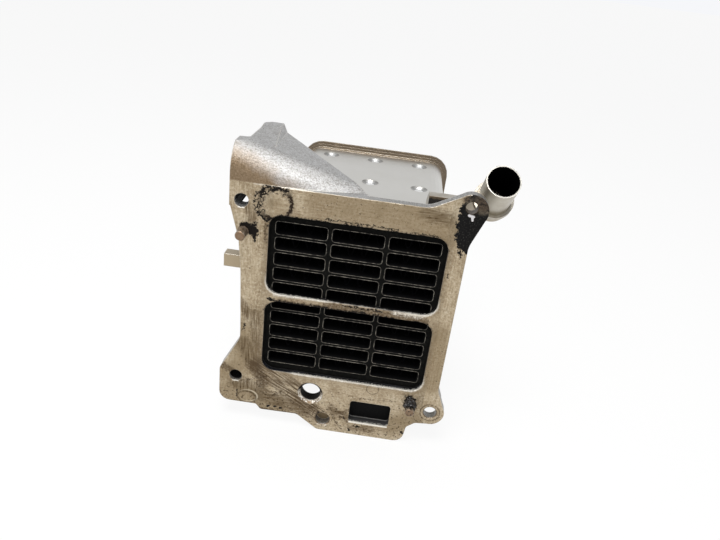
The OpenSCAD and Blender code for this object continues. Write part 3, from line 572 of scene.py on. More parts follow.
# %% Hairlines
HAIRLINES = [((-68.0, -66.5), (-49.0, -59.5)), ((-56.0, -66.0), (-40.0, -74.0)),
             ((-44.5, -75.0), (-33.0, -67.5)), ((-4.3, -81.1), (3.1, -92.8)), ((2.0, -84.0), (9.0, -76.0)),
             ((12.0, -66.2), (38.0, -64.4)), ((-52.0, -72.0), (-30.0, -84.0))]
HAIR_HALF, HAIR_SOFT = 0.08, 0.55       # coarser than a real scratch, so that it shows
hairs = strongest(tree, [stroke(tree, ragged, *ends, HAIR_HALF, HAIR_SOFT) for ends in HAIRLINES])
hair_breaks = add(tree, "ShaderNodeMapRange", {0: grain, 1: 0.54, 2: 0.44, 3: 0.2, 4: 1.0})
hairs = overlap(tree, [hairs, hair_breaks])
print("hairlines:", len(HAIRLINES))

# %% Thin veils, grime and specks
VEILS = [((57, -8), (58, -48), 2.5, 6), ((-51, 60.6), (-48, 60.6), 0, 6), ((36, -84), (50, -78), 4, 7),
         ((-24, 65), (30, 64), 4, 9), ((26, 65), (50, 58), 5, 8), ((-68, -26), (-62, -52), 3, 9),
         ((-72, -75), (-42, -83), 5, 7), ((-76, -62), (-62, -48), 2, 8)]
veil = strongest(tree, [stroke(tree, flat, *v) for v in VEILS])
veil_level = add(tree, "ShaderNodeMapRange", {0: cloud, 1: 0.35, 2: 0.62, 3: 0.82, 4: 0.4})
veil = overlap(tree, [veil, veil_level])
GRIME = [((-67, -7), (-62, -15), 1.5, 3.5), ((-57.5, -13), (-56, -50), 1.5, 4.0),
         ((-64, -36), (-58, -50), 2.5, 5.0), ((-68, -67), (-52, -71), 3.0, 5.0),
         ((-54, -74), (-22, -82), 2.5, 5.0), ((-64, 56), (-62, 50), 1.0, 4.0),
         ((36, 68), (48, 66), 1.0, 6.0), ((10, -91), (24, -90), 1.0, 3.0), ((-4, -78), (8, -84), 1.0, 4.0)]
grime = strongest(tree, [stroke(tree, ragged, *g) for g in GRIME])
grime_level = add(tree, "ShaderNodeMapRange", {0: milling, 1: 0.38, 2: 0.62, 3: 0.3, 4: 0.85})
grime = overlap(tree, [grime, grime_level])
faint_specks = add(tree, "ShaderNodeMath", {0: veil, 1: 0.5}, operation="MULTIPLY")
at_foot = add(tree, "ShaderNodeMapRange", {0: z, 1: -50.0, 2: -78.0})
speck_zone = strongest(tree, [at_foot, faint_specks])
speck_bar = add(tree, "ShaderNodeMapRange", {0: speck_zone, 3: 0.65, 4: 0.57})
over_bar = add(tree, "ShaderNodeMath", {0: rag, 1: speck_bar}, operation="SUBTRACT")
specks = add(tree, "ShaderNodeMapRange", {0: over_bar, 1: 0.0, 2: 0.05, 4: 0.85})
print("veils:", len(VEILS), "grimy places:", len(GRIME))

# %% [markdown]
# Inside the holes, the pocket and the windows
#
# Walls that gas or oil reached are black with soot, and deep walls in the holes and the pocket also carry
# painted shade. Walls that were rubbed are bright, with a painted highlight where they face up. A material
# for each wall would need cut-up meshes, so each wall is found by its place on the face, its depth and the
# way it looks.

# %% Bolt holes
HOLES = [(-68.8, 60.1, 4.2), (-68.8, -61.8, 4.2), (-19.0, -67.9, 6.6)]      # X, Z and radius in mm
EAR_HOLE = (60.5, 74.4)
hole_walls = strongest(tree, [spot(tree, flat, (hx, hz), hr + 0.15, hr + 0.3) for hx, hz, hr in HOLES])
# Deep in the holes the walls are dark from soot and from painted shade; up-facing walls in the upper holes
# stay lit
deep = add(tree, "ShaderNodeMapRange", {0: y, 1: 1.4, 2: 2.6})
hole_soot_and_shade = overlap(tree, [hole_walls, deep])
lit_wall = add(tree, "ShaderNodeMapRange", {0: z, 1: 50.0, 2: 51.0, 4: 0.55})
lit_wall = overlap(tree, [lit_wall, up_facing])
hole_soot_and_shade = without(tree, hole_soot_and_shade, [lit_wall])
ear_wall = add(tree, "ShaderNodeMath",
               {0: spot(tree, flat, EAR_HOLE, 3.6, 3.8), 1: 0.75}, operation="MULTIPLY")
print("holes with dark walls:", len(HOLES) + 1)

# %% Drain hole and blind hole
DRAIN_AT, DRAIN_R = (-19.0, -67.9), 8.6
# The drain hole's lead-in is dark in its upper half, from soot and painted shade, and gets a painted
# highlight in its lower half
drain_up = add(tree, "ShaderNodeMapRange", {0: z, 1: DRAIN_AT[1] - 1.5, 2: DRAIN_AT[1] + 2.0})
drain_lead = spot(tree, flat, DRAIN_AT, DRAIN_R - 0.1, DRAIN_R + 0.1)
drain_dark = overlap(tree, [drain_lead, drain_up])
drain_spark = add(tree, "ShaderNodeMapRange", {0: grain, 1: 0.47, 2: 0.55})
drain_low = overlap(tree, [without(tree, drain_lead, [drain_dark]), drain_spark])
BLIND_AT = (-9.2, -87.3)
blind_in = spot(tree, flat, BLIND_AT, 4.6, 4.8)
# The blind hole's walls are painted darker with depth, as shade
blind_deep = add(tree, "ShaderNodeMapRange", {0: y, 1: 0.6, 2: 2.4, 4: 0.7})
blind_floor = add(tree, "ShaderNodeMapRange", {0: looks[1], 1: -0.5, 2: -0.8, 4: 0.5})
blind_dark = overlap(tree, [blind_in, without(tree, blind_deep, [blind_floor])])
blind_tan = overlap(tree, [blind_in, blind_floor])
print("drain hole at", DRAIN_AT, "and blind hole at", BLIND_AT, "mm")

# %% Where the windows and the pocket are
in_window = add(tree, "ShaderNodeMath", {0: edge_gap, 1: 0.1}, operation="LESS_THAN")
POCKET_AT, POCKET_HALF = (21.4, -77.3), (13.6, 8.7)
rel = add(tree, "ShaderNodeVectorMath", {0: flat, 1: (POCKET_AT[0], 0, POCKET_AT[1])}, operation="SUBTRACT")
rel = add(tree, "ShaderNodeVectorMath", {0: rel}, operation="ABSOLUTE")
rel_x, _, rel_z = add(tree, "ShaderNodeSeparateXYZ", {0: rel}).outputs
in_wide = add(tree, "ShaderNodeMath", {0: rel_x, 1: POCKET_HALF[0]}, operation="LESS_THAN")
in_high = add(tree, "ShaderNodeMath", {0: rel_z, 1: POCKET_HALF[1]}, operation="LESS_THAN")
in_pocket = overlap(tree, [in_wide, in_high])
sunk = add(tree, "ShaderNodeMapRange", {0: y, 1: 0.15, 2: 0.5})
walls = overlap(tree, [strongest(tree, [in_window, in_pocket]), sunk])
print("pocket:", 2 * POCKET_HALF[0], "x", 2 * POCKET_HALF[1], "mm")

# %% Floor of the pocket, and edge of the drain hole
pocket_floor = overlap(tree, [in_pocket, up_facing, sunk])
drain_dark = overlap(tree, [drain_dark, sunk])
drain_skin = add(tree, "ShaderNodeMapRange", {0: y, 1: 1.7, 2: 2.0, 3: 1.0, 4: 0.0})
drain_skin = overlap(tree, [drain_skin, sunk])
drain_glint = overlap(tree, [drain_low, drain_skin])
# The pocket's floor is painted grey over the black, lighter near the front and darker deeper in, as painted
# shade, and a lighter line is painted along its back edge
pocket_grey = add(tree, "ShaderNodeMapRange", {0: y, 1: 1.0, 2: 4.5, 3: 0.8, 4: 0.35})
pocket_grey = overlap(tree, [pocket_floor, pocket_grey])
pocket_crease = add(tree, "ShaderNodeMapRange", {0: y, 1: 5.3, 2: 5.7, 4: 0.8})
pocket_crease = overlap(tree, [pocket_crease, pocket_floor])
print("pocket and drain:", len(tree.nodes), "nodes so far")

# %% Walls rubbed bright with a painted highlight, and walls under soot and painted shade
# Up-facing walls near the front are partly rubbed bare and partly given a painted highlight
worn_depth = add(tree, "ShaderNodeMath", {0: grain, 1: 6.0, 2: -1.9}, operation="MULTIPLY_ADD")
worn_depth = add(tree, "ShaderNodeMath", {0: near_rib, 1: 0.8, 2: worn_depth}, operation="MULTIPLY_ADD")
low_wall = add(tree, "ShaderNodeMapRange", {0: z, 1: -45.0, 2: -50.0, 4: 0.5})
worn_depth = add(tree, "ShaderNodeMath", {0: worn_depth, 1: low_wall}, operation="ADD")
worn_depth = add(tree, "ShaderNodeMath", {0: worn_depth, 1: y}, operation="SUBTRACT")
rubbed_and_highlit = add(tree, "ShaderNodeMapRange", {0: worn_depth, 1: 0.0, 2: 1.2})
rubbed_and_highlit = overlap(tree, [rubbed_and_highlit, up_facing, walls])
worn_dull = add(tree, "ShaderNodeMath", {0: lip_dull, 1: 0.7}, operation="MULTIPLY")
rubbed_and_highlit = without(tree, rubbed_and_highlit, [worn_dull, left_corner])
# The other walls are black: soot in the windows, painted shade in the pocket
wall_soot_and_shade = without(tree, walls, [rubbed_and_highlit])
# Up-facing walls low on the face get a painted bluish sheen
wall_sheen = add(tree, "ShaderNodeMapRange", {0: milling, 1: 0.48, 2: 0.66, 4: 1.8})
wall_sheen = overlap(tree, [wall_sheen, low_wall, up_facing])
wall_sheen = add(tree, "ShaderNodeMath", {0: wall_sheen, 1: wall_soot_and_shade}, operation="MULTIPLY", use_clamp=True)
print("walls:", len(tree.nodes), "nodes so far")

# %% [markdown]
# Worn edges
#
# Edges are rubbed bright first. They could be drawn one by one, but the Bevel node's normal differs from
# the true one only near an edge, so comparing the two finds all edges at once. Edges that face up, and the
# face's top edge under the horn, also get a painted highlight.

# %% Worn edges, and painted highlights on edges that face up and under the horn
true_normal = add(tree, "ShaderNodeNewGeometry").outputs["Normal"]
same = add(tree, "ShaderNodeVectorMath", {0: bevel, 1: true_normal}, operation="DOT_PRODUCT")
edges = add(tree, "ShaderNodeMapRange", {0: same.outputs["Value"], 1: 0.97, 2: 0.80, 4: 0.6})
# Edges that face up get a painted highlight
edges_up_highlight = overlap(tree, [edges, up_facing])
# A painted highlight along the face's top edge, under the horn
horn_edge_highlight = stroke(tree, flat, (-62.0, 70.9), (2.5, 71.3), 0.15, 0.45)
horn_line_x = add(tree, "ShaderNodeMapRange", {0: x, 1: -66.0, 2: -30.0, 3: 0.2, 4: 0.95})
horn_edge_highlight = overlap(tree, [horn_edge_highlight, horn_line_x, front])
print("edges:", len(tree.nodes), "nodes so far")

# %% [markdown]
# The casting's colours
#
# The ground comes first, then thin stains, then thick ones, in the order in which they came onto the real
# part. Soot and sealant are no metal, and neither is the shade painted into the holes and the pocket, so
# where they lie the shader's metallic value and gloss go down and its roughness goes up.

# %% Marks on the face, thin ones first
face_soot = overlap(tree, [soot, on_face])
face_crust = overlap(tree, [crust, on_face])
thin_marks = [
    (veil, "#857356"), (grime, "#54422A"), (halo, "#7D6A50"), (ring_veil, "#8A7A63"), (smears, "#554430"),
    (brown, "#54432F"), (specks, "#3C2D1D"), (oval, "#D2C6AE"), (hairs, "#3B2C1B"), (cast_rings, "#4B3C27"),
    (ring_line, "#2C2118"), (thin_brown, "#5A4836"),
]
bright_marks = [(crust_glint, "#4B4945"), (pin_glint, "#A5A19B"), (chip, "#DAD8DA"), (lip_glint, "#EDE8DC")]
thin_marks = [(overlap(tree, [amount, on_face]), code) for amount, code in thin_marks]
bright_marks = [(overlap(tree, [amount, on_face]), code) for amount, code in bright_marks]
face_marks = thin_marks + [(face_soot, "#15110E"), (face_crust, "#0E0D0D")] + bright_marks
print("marks on the face:", len(face_marks))

# %% Ground of the face
# Each shade: the pattern it follows, the values at which it begins and is full, and its greatest strength
SHADES = [(cloud, 0.48, 0.66, 0.9), (cloud, 0.48, 0.34, 0.6), (milling, 0.50, 0.72, 0.6),
          (milling, 0.46, 0.26, 0.6), (grain, 0.52, 0.66, 0.75), (grain, 0.48, 0.34, 0.75),
          (grit, 0.50, 0.66, 0.6), (grit, 0.49, 0.34, 0.7), (worm, 0.46, 0.62, 0.5)]
cloudy, clear, milled, shined, pale, dark, grit_light, grit_dark, blotch = [
    add(tree, "ShaderNodeMapRange", {0: pattern, 1: begins, 2: full, 4: most})
    for pattern, begins, full, most in SHADES]
face_ground = layered(tree, tint("#B7A68B"), [(cloudy, "#968469"), (clear, "#C4B79F"), (milled, "#7E6C52"),
                                              (shined, "#D3C6AC"), (pale, "#D4C8B1"), (dark, "#77654B")])
print("shades of the grounds:", len(SHADES))

# %% Where the blasted skin is silver, where it is dirty, and where light and shade are painted on it
tan_line = add(tree, "ShaderNodeMath", {0: cloud, 1: 14.0, 2: z}, operation="MULTIPLY_ADD")
tan_line = add(tree, "ShaderNodeMath", {0: x, 1: 0.5, 2: tan_line}, operation="MULTIPLY_ADD")
silver = add(tree, "ShaderNodeMapRange", {0: tan_line, 1: 52.0, 2: 64.0})
# Skin that looks up or sideways is silver, so tan is left only where it faces front: partly stain, partly a
# painted warm reflection
skyward = add(tree, "ShaderNodeMapRange", {0: looks[2], 1: 0.70, 2: 0.90})
turned = add(tree, "ShaderNodeMapRange", {0: looks[1], 1: -0.45, 2: -0.10})
silver = strongest(tree, [silver, skyward, turned])
unwashed = add(tree, "ShaderNodeMapRange", {0: z, 1: 52.0, 2: 20.0, 4: 0.55})
dirt_level = add(tree, "ShaderNodeMapRange", {0: cloud, 1: 0.35, 2: 0.60, 3: 0.4})
unwashed = overlap(tree, [unwashed, dirt_level])
# Up-facing skin towards the ear is painted darker, as shade
up_facing_shade_near_ear = add(tree, "ShaderNodeMapRange", {0: x, 1: -4.0, 2: 16.0, 4: 0.8})
up_facing_shade_near_ear = overlap(tree, [up_facing_shade_near_ear, up_facing])
print("skin:", len(tree.nodes), "nodes so far")

# %% Ground of the blasted skin
tan_stain_and_reflection = layered(tree, tint("#857159"), [(grit_light, "#9C8971"), (grit_dark, "#67573F")])
silvery = layered(tree, tint("#ACABA9"), [(blotch, "#94918C"), (unwashed, "#8E8168"), (up_facing_shade_near_ear, "#83817C"),
                                          (grit_light, "#CFCFD0"), (grit_dark, "#797671")])
peg = stroke(tree, flat, (-82.0, 16.6), (-60.0, 16.6), 4.6, 0.4)
peg = add(tree, "ShaderNodeMath", {0: peg, 1: 0.8}, operation="MULTIPLY")
blasted = add(tree, "ShaderNodeMix", {0: silver, 6: tan_stain_and_reflection, 7: silvery}, data_type="RGBA").outputs[2]
blasted = layered(tree, blasted, [(peg, "#B4A58B")])
ground = add(tree, "ShaderNodeMix", {0: on_face, 6: blasted, 7: face_ground}, data_type="RGBA").outputs[2]
print("grounds: face, stained and silvery")

# %% Putting the casting's finish together
edge_marks = [(edges, "#D6CDBC"), (edges_up_highlight, "#F4F0E8"), (horn_edge_highlight, "#F2ECDF")]
wall_marks = [
    (drain_dark, "#221C17"), (drain_glint, "#EFEAE0"), (blind_tan, "#B09C78"), (blind_dark, "#3A2F22"),
    (ear_wall, "#4C3D2E"), (hole_soot_and_shade, "#12100F"), (wall_soot_and_shade, "#0B0B0B"), (wall_sheen, "#3A3C42"),
    (pocket_grey, "#4E4D4B"), (pocket_crease, "#8D8B86"), (rubbed_and_highlit, "#E9E4D9"),
]
colour = layered(tree, ground, edge_marks + face_marks + wall_marks)
# Soot, crust, and the shade painted into the holes and the pocket, count as no metal
dark_soot_and_shade = strongest(tree, [face_soot, face_crust, drain_dark, blind_dark, hole_soot_and_shade, wall_soot_and_shade])
bright = add(tree, "ShaderNodeMath", {0: 0.8, 1: dark_soot_and_shade}, operation="SUBTRACT", use_clamp=True)
gloss = add(tree, "ShaderNodeMapRange", {0: dark_soot_and_shade, 3: 0.5, 4: 0.1})
rough = add(tree, "ShaderNodeMapRange", {0: on_face, 3: 0.48, 4: 0.42})
rough = add(tree, "ShaderNodeMath", {0: dark_soot_and_shade, 1: 0.18, 2: rough}, operation="MULTIPLY_ADD")
grit_level = add(tree, "ShaderNodeMapRange", {0: up_facing_shade_near_ear, 2: 0.8, 3: 0.6, 4: 0.25})
grit_height = overlap(tree, [grit, grit_level])
height = add(tree, "ShaderNodeMix", {0: on_face, 2: grit_height, 3: milling})
height = add(tree, "ShaderNodeMath", {0: face_crust, 1: 2.0, 2: height}, operation="MULTIPLY_ADD")
relief = add(tree, "ShaderNodeBump", {"Strength": 0.7, "Distance": 0.0005, "Height": height, "Normal": bevel})
wire(tree, shader, {"Base Color": colour, "Metallic": bright, "Roughness": rough,
                    "Specular IOR Level": gloss, "Normal": relief})
print("casting:", len(tree.nodes), "nodes")

# %% [markdown]
# Sheet, tubes and soot
#
# The can, its cap and the coolant box are thin stainless sheet, brazed in a furnace. The heat leaves sheet
# matt and pale grey, and turns it straw and brown where it is thickest, at the rear rim. The tubes and the
# tube sheet are the same steel under soot, with only the rims of the tubes scraped bright. One material
# could serve them all, but each piece met another heat, so each gets its own. Zones come from depth and
# from the way a surface looks, as on the casting.

# %% Can sheet and its patterns
HAZE_MM = 22.0              # cloudy marks of the furnace
SHEET_GRAIN_MM = 0.5        # rolled grain, drawn coarser than it is so that it shows
LIP_Y = (143.9, 144.2)      # depths in mm between which the turned-out lip begins
FLAT_HALF = 41.5            # half width of the can's flat top
DIMPLE_Z = (55.4, 54.6)     # heights in mm between which a dimple's floor begins
# Furnace-brazed sheet is pale and matt, with wide soft highlights and a faint haze
sheet, tree, shader, point = start_finish("stainless_sheet_furnace_brazed", 0.8, 0.33)
axes = add(tree, "ShaderNodeSeparateXYZ", {0: point})
haze = add(tree, "ShaderNodeTexNoise",
           {"Vector": point, "Scale": 1 / HAZE_MM, "Detail": 5.0, "Roughness": 0.62})
fine = add(tree, "ShaderNodeTexNoise", {"Vector": point, "Scale": 1 / SHEET_GRAIN_MM, "Detail": 2.0})
# Towards the rear rim the can turns darker and browner: heat tint, and painted shade where it meets the rim
ragged_depth = add(tree, "ShaderNodeMath", {0: haze, 1: 8.0, 2: axes.outputs[1]}, operation="MULTIPLY_ADD")
heat_tint_and_shade = add(tree, "ShaderNodeMapRange", {0: ragged_depth, 1: 140.0, 2: 149.0})
hazy = add(tree, "ShaderNodeMapRange", {0: haze, 1: 0.38, 2: 0.66, 4: 0.6})
speckle = add(tree, "ShaderNodeMapRange", {0: fine, 1: 0.55, 2: 0.8, 4: 0.3})
bevel = add(tree, "ShaderNodeBevel", {"Radius": 0.0012}, samples=4)
print("can sheet: haze", HAZE_MM, "mm, grain", SHEET_GRAIN_MM, "mm")

# %% Lips and dimples of the can
way = add(tree, "ShaderNodeNewGeometry").outputs["Normal"]
side_x, side_y, side_z = add(tree, "ShaderNodeSeparateXYZ", {0: way}).outputs
# The turned-out lip is painted darker where it faces front and lighter on top, as painted shade and highlight
lip = add(tree, "ShaderNodeMapRange", {0: axes.outputs[1], 1: LIP_Y[0], 2: LIP_Y[1]})
front_side = add(tree, "ShaderNodeMapRange", {0: side_y, 1: -0.3, 2: -0.7})
lip_front = overlap(tree, [lip, front_side])
lip_top = without(tree, lip, [lip_front])
side_x = add(tree, "ShaderNodeMath", {0: side_x}, operation="ABSOLUTE")
# Dimple sides that face left or right get a painted shade
dimple_side_shade = add(tree, "ShaderNodeMapRange", {0: side_x, 1: 0.22, 2: 0.40, 4: 0.7})
upper = add(tree, "ShaderNodeMapRange", {0: side_z, 1: 0.80, 2: 0.85})
from_middle = add(tree, "ShaderNodeMath", {0: axes.outputs[0]}, operation="ABSOLUTE")
flat_top = add(tree, "ShaderNodeMath", {0: from_middle, 1: FLAT_HALF}, operation="LESS_THAN")
dimple_side_shade = overlap(tree, [dimple_side_shade, upper, flat_top])
upper = overlap(tree, [upper, flat_top])
# Dimple floors that face up get a painted highlight
sunk = add(tree, "ShaderNodeMapRange", {0: axes.outputs[2], 1: DIMPLE_Z[0], 2: DIMPLE_Z[1], 4: 0.9})
sunk = overlap(tree, [sunk, upper])
colour = layered(tree, tint("#CAC8C2"), [(hazy, "#C3C1BA"), (speckle, "#BDBBB4"), (heat_tint_and_shade, "#ADA498"),
                                         (lip_front, "#857867"), (lip_top, "#D9D0C3"),
                                         (sunk, "#F2F2F0"), (dimple_side_shade, "#75736E")])
relief = add(tree, "ShaderNodeBump", {"Strength": 0.25, "Distance": 0.0001, "Height": fine, "Normal": bevel})
wire(tree, shader, {"Base Color": colour, "Normal": relief})
print("can sheet:", len(tree.nodes), "nodes")

# %% Rear rim and cap
STRAW_MM = 12.0             # straw and grey clouds of the heat tint
RIM_GRAIN_MM = 0.7          # rolled grain, drawn coarser than it is so that it shows
# Heat-tinted sheet is straw and light brown, and a little duller than the can
rim, tree, shader, point = start_finish("stainless_sheet_straw_heat_tint", 0.85, 0.36)
axes = add(tree, "ShaderNodeSeparateXYZ", {0: point})
haze = add(tree, "ShaderNodeTexNoise",
           {"Vector": point, "Scale": 1 / STRAW_MM, "Detail": 5.0, "Roughness": 0.6})
fine = add(tree, "ShaderNodeTexNoise", {"Vector": point, "Scale": 1 / RIM_GRAIN_MM, "Detail": 2.0})
way = add(tree, "ShaderNodeNewGeometry").outputs["Normal"]
side_y = add(tree, "ShaderNodeSeparateXYZ", {0: way}).outputs[1]
# Faces of the rim that look forward are painted darker, as shade
front_face_shade = add(tree, "ShaderNodeMapRange", {0: side_y, 1: -0.3, 2: -0.7, 4: 0.9})
straw = add(tree, "ShaderNodeMapRange", {0: haze, 1: 0.40, 2: 0.62})
cooler = add(tree, "ShaderNodeMapRange", {0: axes.outputs[1], 1: 150.0, 2: 160.0, 4: 0.7})
speckle = add(tree, "ShaderNodeMapRange", {0: fine, 1: 0.56, 2: 0.8, 4: 0.4})
colour = layered(tree, tint("#ABA090"), [(straw, "#BBB0A0"), (cooler, "#BAB3A8"), (speckle, "#8A7A67"),
                                         (front_face_shade, "#756858")])
bevel = add(tree, "ShaderNodeBevel", {"Radius": 0.0005}, samples=4)
relief = add(tree, "ShaderNodeBump", {"Strength": 0.25, "Distance": 0.0001, "Height": fine, "Normal": bevel})
wire(tree, shader, {"Base Color": colour, "Normal": relief})
print("rear rim:", len(tree.nodes), "nodes")

# %% Tube sheet
SOOT_MM = 2.5               # clumps of soot
# Steel under dry soot is almost black and has no gloss
soot_sheet, tree, shader, point = start_finish("stainless_tube_sheet_under_soot", 0.0, 0.9, 0.1)
dust = add(tree, "ShaderNodeTexNoise",
           {"Vector": point, "Scale": 1 / SOOT_MM, "Detail": 4.0, "Roughness": 0.65})
dusty = add(tree, "ShaderNodeMapRange", {0: dust, 1: 0.45, 2: 0.75})
colour = layered(tree, tint("#080807"), [(dusty, "#161512")])
relief = add(tree, "ShaderNodeBump", {"Strength": 0.4, "Distance": 0.0002, "Height": dust})
wire(tree, shader, {"Base Color": colour, "Normal": relief})
print("tube sheet:", len(tree.nodes), "nodes")

# %% Tubes
SCRAPE_MM = 3.0                     # length of the scraped bits of a rim
MOUTH_Y = (3.14, 3.2)               # depths in mm between which a tube's mouth ends
ROW_MM, COLUMN_HALF = 10.0, 16.7    # height of a row, half width of a column
STRAIGHT = (13.6, 0, 2.3)           # half lengths of a tube's straight sides
SKIN = (1.74, 1.82)                 # distances from them between which the bright rim begins
# A sooted tube is black, and its scraped rim draws thin, broken, bright lines
tube_metal, tree, shader, point = start_finish("stainless_tube_sooted_with_bright_rim", 0.2, 0.7, 0.1)
axes = add(tree, "ShaderNodeSeparateXYZ", {0: point})
dust = add(tree, "ShaderNodeTexNoise",
           {"Vector": point, "Scale": 1 / SCRAPE_MM, "Detail": 4.0, "Roughness": 0.65})
rim_line = add(tree, "ShaderNodeMapRange", {0: axes.outputs[1], 1: MOUTH_Y[0], 2: MOUTH_Y[1], 3: 1.0, 4: 0.0})
row_z = add(tree, "ShaderNodeMath", {0: axes.outputs[2], 1: ROW_MM, 2: 0.0}, operation="WRAP")
row_z = off_by(tree, row_z, ROW_MM / 2)
column_x = add(tree, "ShaderNodeMath",
               {0: axes.outputs[0], 1: COLUMN_HALF, 2: -COLUMN_HALF}, operation="WRAP")
column_x = add(tree, "ShaderNodeMath", {0: column_x}, operation="ABSOLUTE")
corner = add(tree, "ShaderNodeCombineXYZ", {0: column_x, 2: row_z})
corner = add(tree, "ShaderNodeVectorMath", {0: corner, 1: STRAIGHT}, operation="SUBTRACT")
corner = add(tree, "ShaderNodeVectorMath", {0: corner, 1: (0, 0, 0)}, operation="MAXIMUM")
corner = add(tree, "ShaderNodeVectorMath", {0: corner}, operation="LENGTH").outputs["Value"]
outer = add(tree, "ShaderNodeMapRange", {0: corner, 1: SKIN[0], 2: SKIN[1]})
scraped = add(tree, "ShaderNodeMapRange", {0: dust, 1: 0.40, 2: 0.60, 3: 0.15})
rim_line = overlap(tree, [rim_line, outer, scraped])
colour = layered(tree, tint("#0B0B0C"), [(rim_line, "#9C968A")])
wire(tree, shader, {"Base Color": colour})
print("tubes:", len(tree.nodes), "nodes")

# %% Strips
DUST_MM = 1.5               # clumps of soot on the strip
# Thin strip under soot is a faint blue-black
strip, tree, shader, point = start_finish("stainless_strip_under_soot", 0.0, 0.9, 0.1)
dust = add(tree, "ShaderNodeTexNoise", {"Vector": point, "Scale": 1 / DUST_MM, "Detail": 3.0})
dusty = add(tree, "ShaderNodeMapRange", {0: dust, 1: 0.45, 2: 0.8})
colour = layered(tree, tint("#0C0C0E"), [(dusty, "#1C1C23")])
wire(tree, shader, {"Base Color": colour})
print("strips:", len(tree.nodes), "nodes")

# %% [markdown]
# The hose stub, its collar and the coolant box
#
# The stub is drawn stainless tube with a turned collar, brazed into a pressed box. Its inside is painted
# black as shade, and the cut mouth is bright. The inside could be a material slot of its own, but the solids
# come with one slot each, so inside and outside are told apart by the distance from the stub's axis, which
# a cross product gives. Soot from the leaking joint covers the front of the box, and the box is painted
# black inside the stub's socket, as shade.

# %% The stub's axis
FOOT = Vector((76.2, 32.9, 69.2))       # where the axis begins, in mm
tilt, lean = math.radians(47), math.radians(1.5)        # forward from upright, and to the right
ALONG = Vector((math.cos(tilt) * math.sin(lean), -math.sin(tilt), math.cos(tilt) * math.cos(lean)))


def along_stub(tree, point):
    """From the stub's foot to the point, and how much of that lies along the stub."""
    rel = add(tree, "ShaderNodeVectorMath", {0: point, 1: FOOT}, operation="SUBTRACT")
    return rel, add(tree, "ShaderNodeVectorMath",
                    {0: rel, 1: ALONG}, operation="DOT_PRODUCT").outputs["Value"]


def off_stub(tree, rel):
    """How far a point lies from the stub's axis."""
    off_axis = add(tree, "ShaderNodeVectorMath", {0: rel, 1: ALONG}, operation="CROSS_PRODUCT")
    return add(tree, "ShaderNodeVectorMath", {0: off_axis}, operation="LENGTH").outputs["Value"]


print("the stub points along", [round(v, 3) for v in ALONG])

# %% Hose stub
BORE_R = (9.15, 9.4)        # radii in mm between which the bore ends
MOUTH_AT = (27.4, 27.55)    # lengths from the foot between which the cut mouth begins
STUB_HAZE_MM = 6.0          # clouds on the tube
STUB_GRAIN_MM = 0.5         # drawn grain, coarser than it is so that it shows
# Drawn tube is a smooth silver-grey with a slight haze, and its cut mouth is bright
stub, tree, shader, point = start_finish("stainless_tube_drawn", 0.9, 0.36)
rel, reach = along_stub(tree, point)
bore = add(tree, "ShaderNodeMapRange", {0: off_stub(tree, rel), 1: BORE_R[0], 2: BORE_R[1], 3: 1.0, 4: 0.0})
mouth = add(tree, "ShaderNodeMapRange", {0: reach, 1: MOUTH_AT[0], 2: MOUTH_AT[1]})
haze = add(tree, "ShaderNodeTexNoise",
           {"Vector": point, "Scale": 1 / STUB_HAZE_MM, "Detail": 5.0, "Roughness": 0.6})
fine = add(tree, "ShaderNodeTexNoise", {"Vector": point, "Scale": 1 / STUB_GRAIN_MM, "Detail": 2.0})
hazy = add(tree, "ShaderNodeMapRange", {0: haze, 1: 0.40, 2: 0.66, 4: 0.7})
speckle = add(tree, "ShaderNodeMapRange", {0: fine, 1: 0.55, 2: 0.8, 4: 0.3})
foot_heat = add(tree, "ShaderNodeMapRange", {0: reach, 1: 8.0, 2: 2.0, 4: 0.6})
# The bore is painted black, as shade
colour = layered(tree, tint("#BAB4A7"), [(hazy, "#ABA393"), (speckle, "#857D6D"), (foot_heat, "#A59B86"),
                                         (mouth, "#CFCBC2"), (bore, "#050505")])
dull = add(tree, "ShaderNodeMapRange", {0: bore, 3: 0.9, 4: 0.0})
rough = add(tree, "ShaderNodeMapRange", {0: bore, 3: 0.36, 4: 0.8})
relief = add(tree, "ShaderNodeBump", {"Strength": 0.25, "Distance": 0.0001, "Height": fine})
sheen = add(tree, "ShaderNodeMapRange", {0: bore, 3: 0.5, 4: 0.0})
wire(tree, shader, {"Base Color": colour, "Metallic": dull, "Roughness": rough,
                    "Specular IOR Level": sheen, "Normal": relief})
print("hose stub:", len(tree.nodes), "nodes")

# %% Collar
COLLAR_HAZE_MM = 3.0        # stains of the braze
GROOVE_AT = 1.6             # length from the foot at which the groove runs
# A turned ring is brighter than the tube, with a dark groove where the braze ran
collar, tree, shader, point = start_finish("stainless_ring_turned_and_brazed", 0.9, 0.34)
_, reach = along_stub(tree, point)
haze = add(tree, "ShaderNodeTexNoise", {"Vector": point, "Scale": 1 / COLLAR_HAZE_MM, "Detail": 4.0})
hazy = add(tree, "ShaderNodeMapRange", {0: haze, 1: 0.42, 2: 0.64})
golden = add(tree, "ShaderNodeMapRange", {0: reach, 1: 1.8, 2: 0.4, 4: 0.8})
groove = add(tree, "ShaderNodeMapRange", {0: off_by(tree, reach, GROOVE_AT), 1: 0.2, 2: 0.45, 3: 0.8, 4: 0.0})
bevel = add(tree, "ShaderNodeBevel", {"Radius": 0.0004}, samples=4)
colour = layered(tree, tint("#C6C0B4"), [(hazy, "#B4AC9D"), (golden, "#AFA694"), (groove, "#5F5443")])
wire(tree, shader, {"Base Color": colour, "Normal": bevel})
print("collar:", len(tree.nodes), "nodes")

# %% Coolant box
BOX_GRIME_MM = 2.0          # lumps of soot
BOX_HAZE_MM = 8.0           # clouds on the sheet
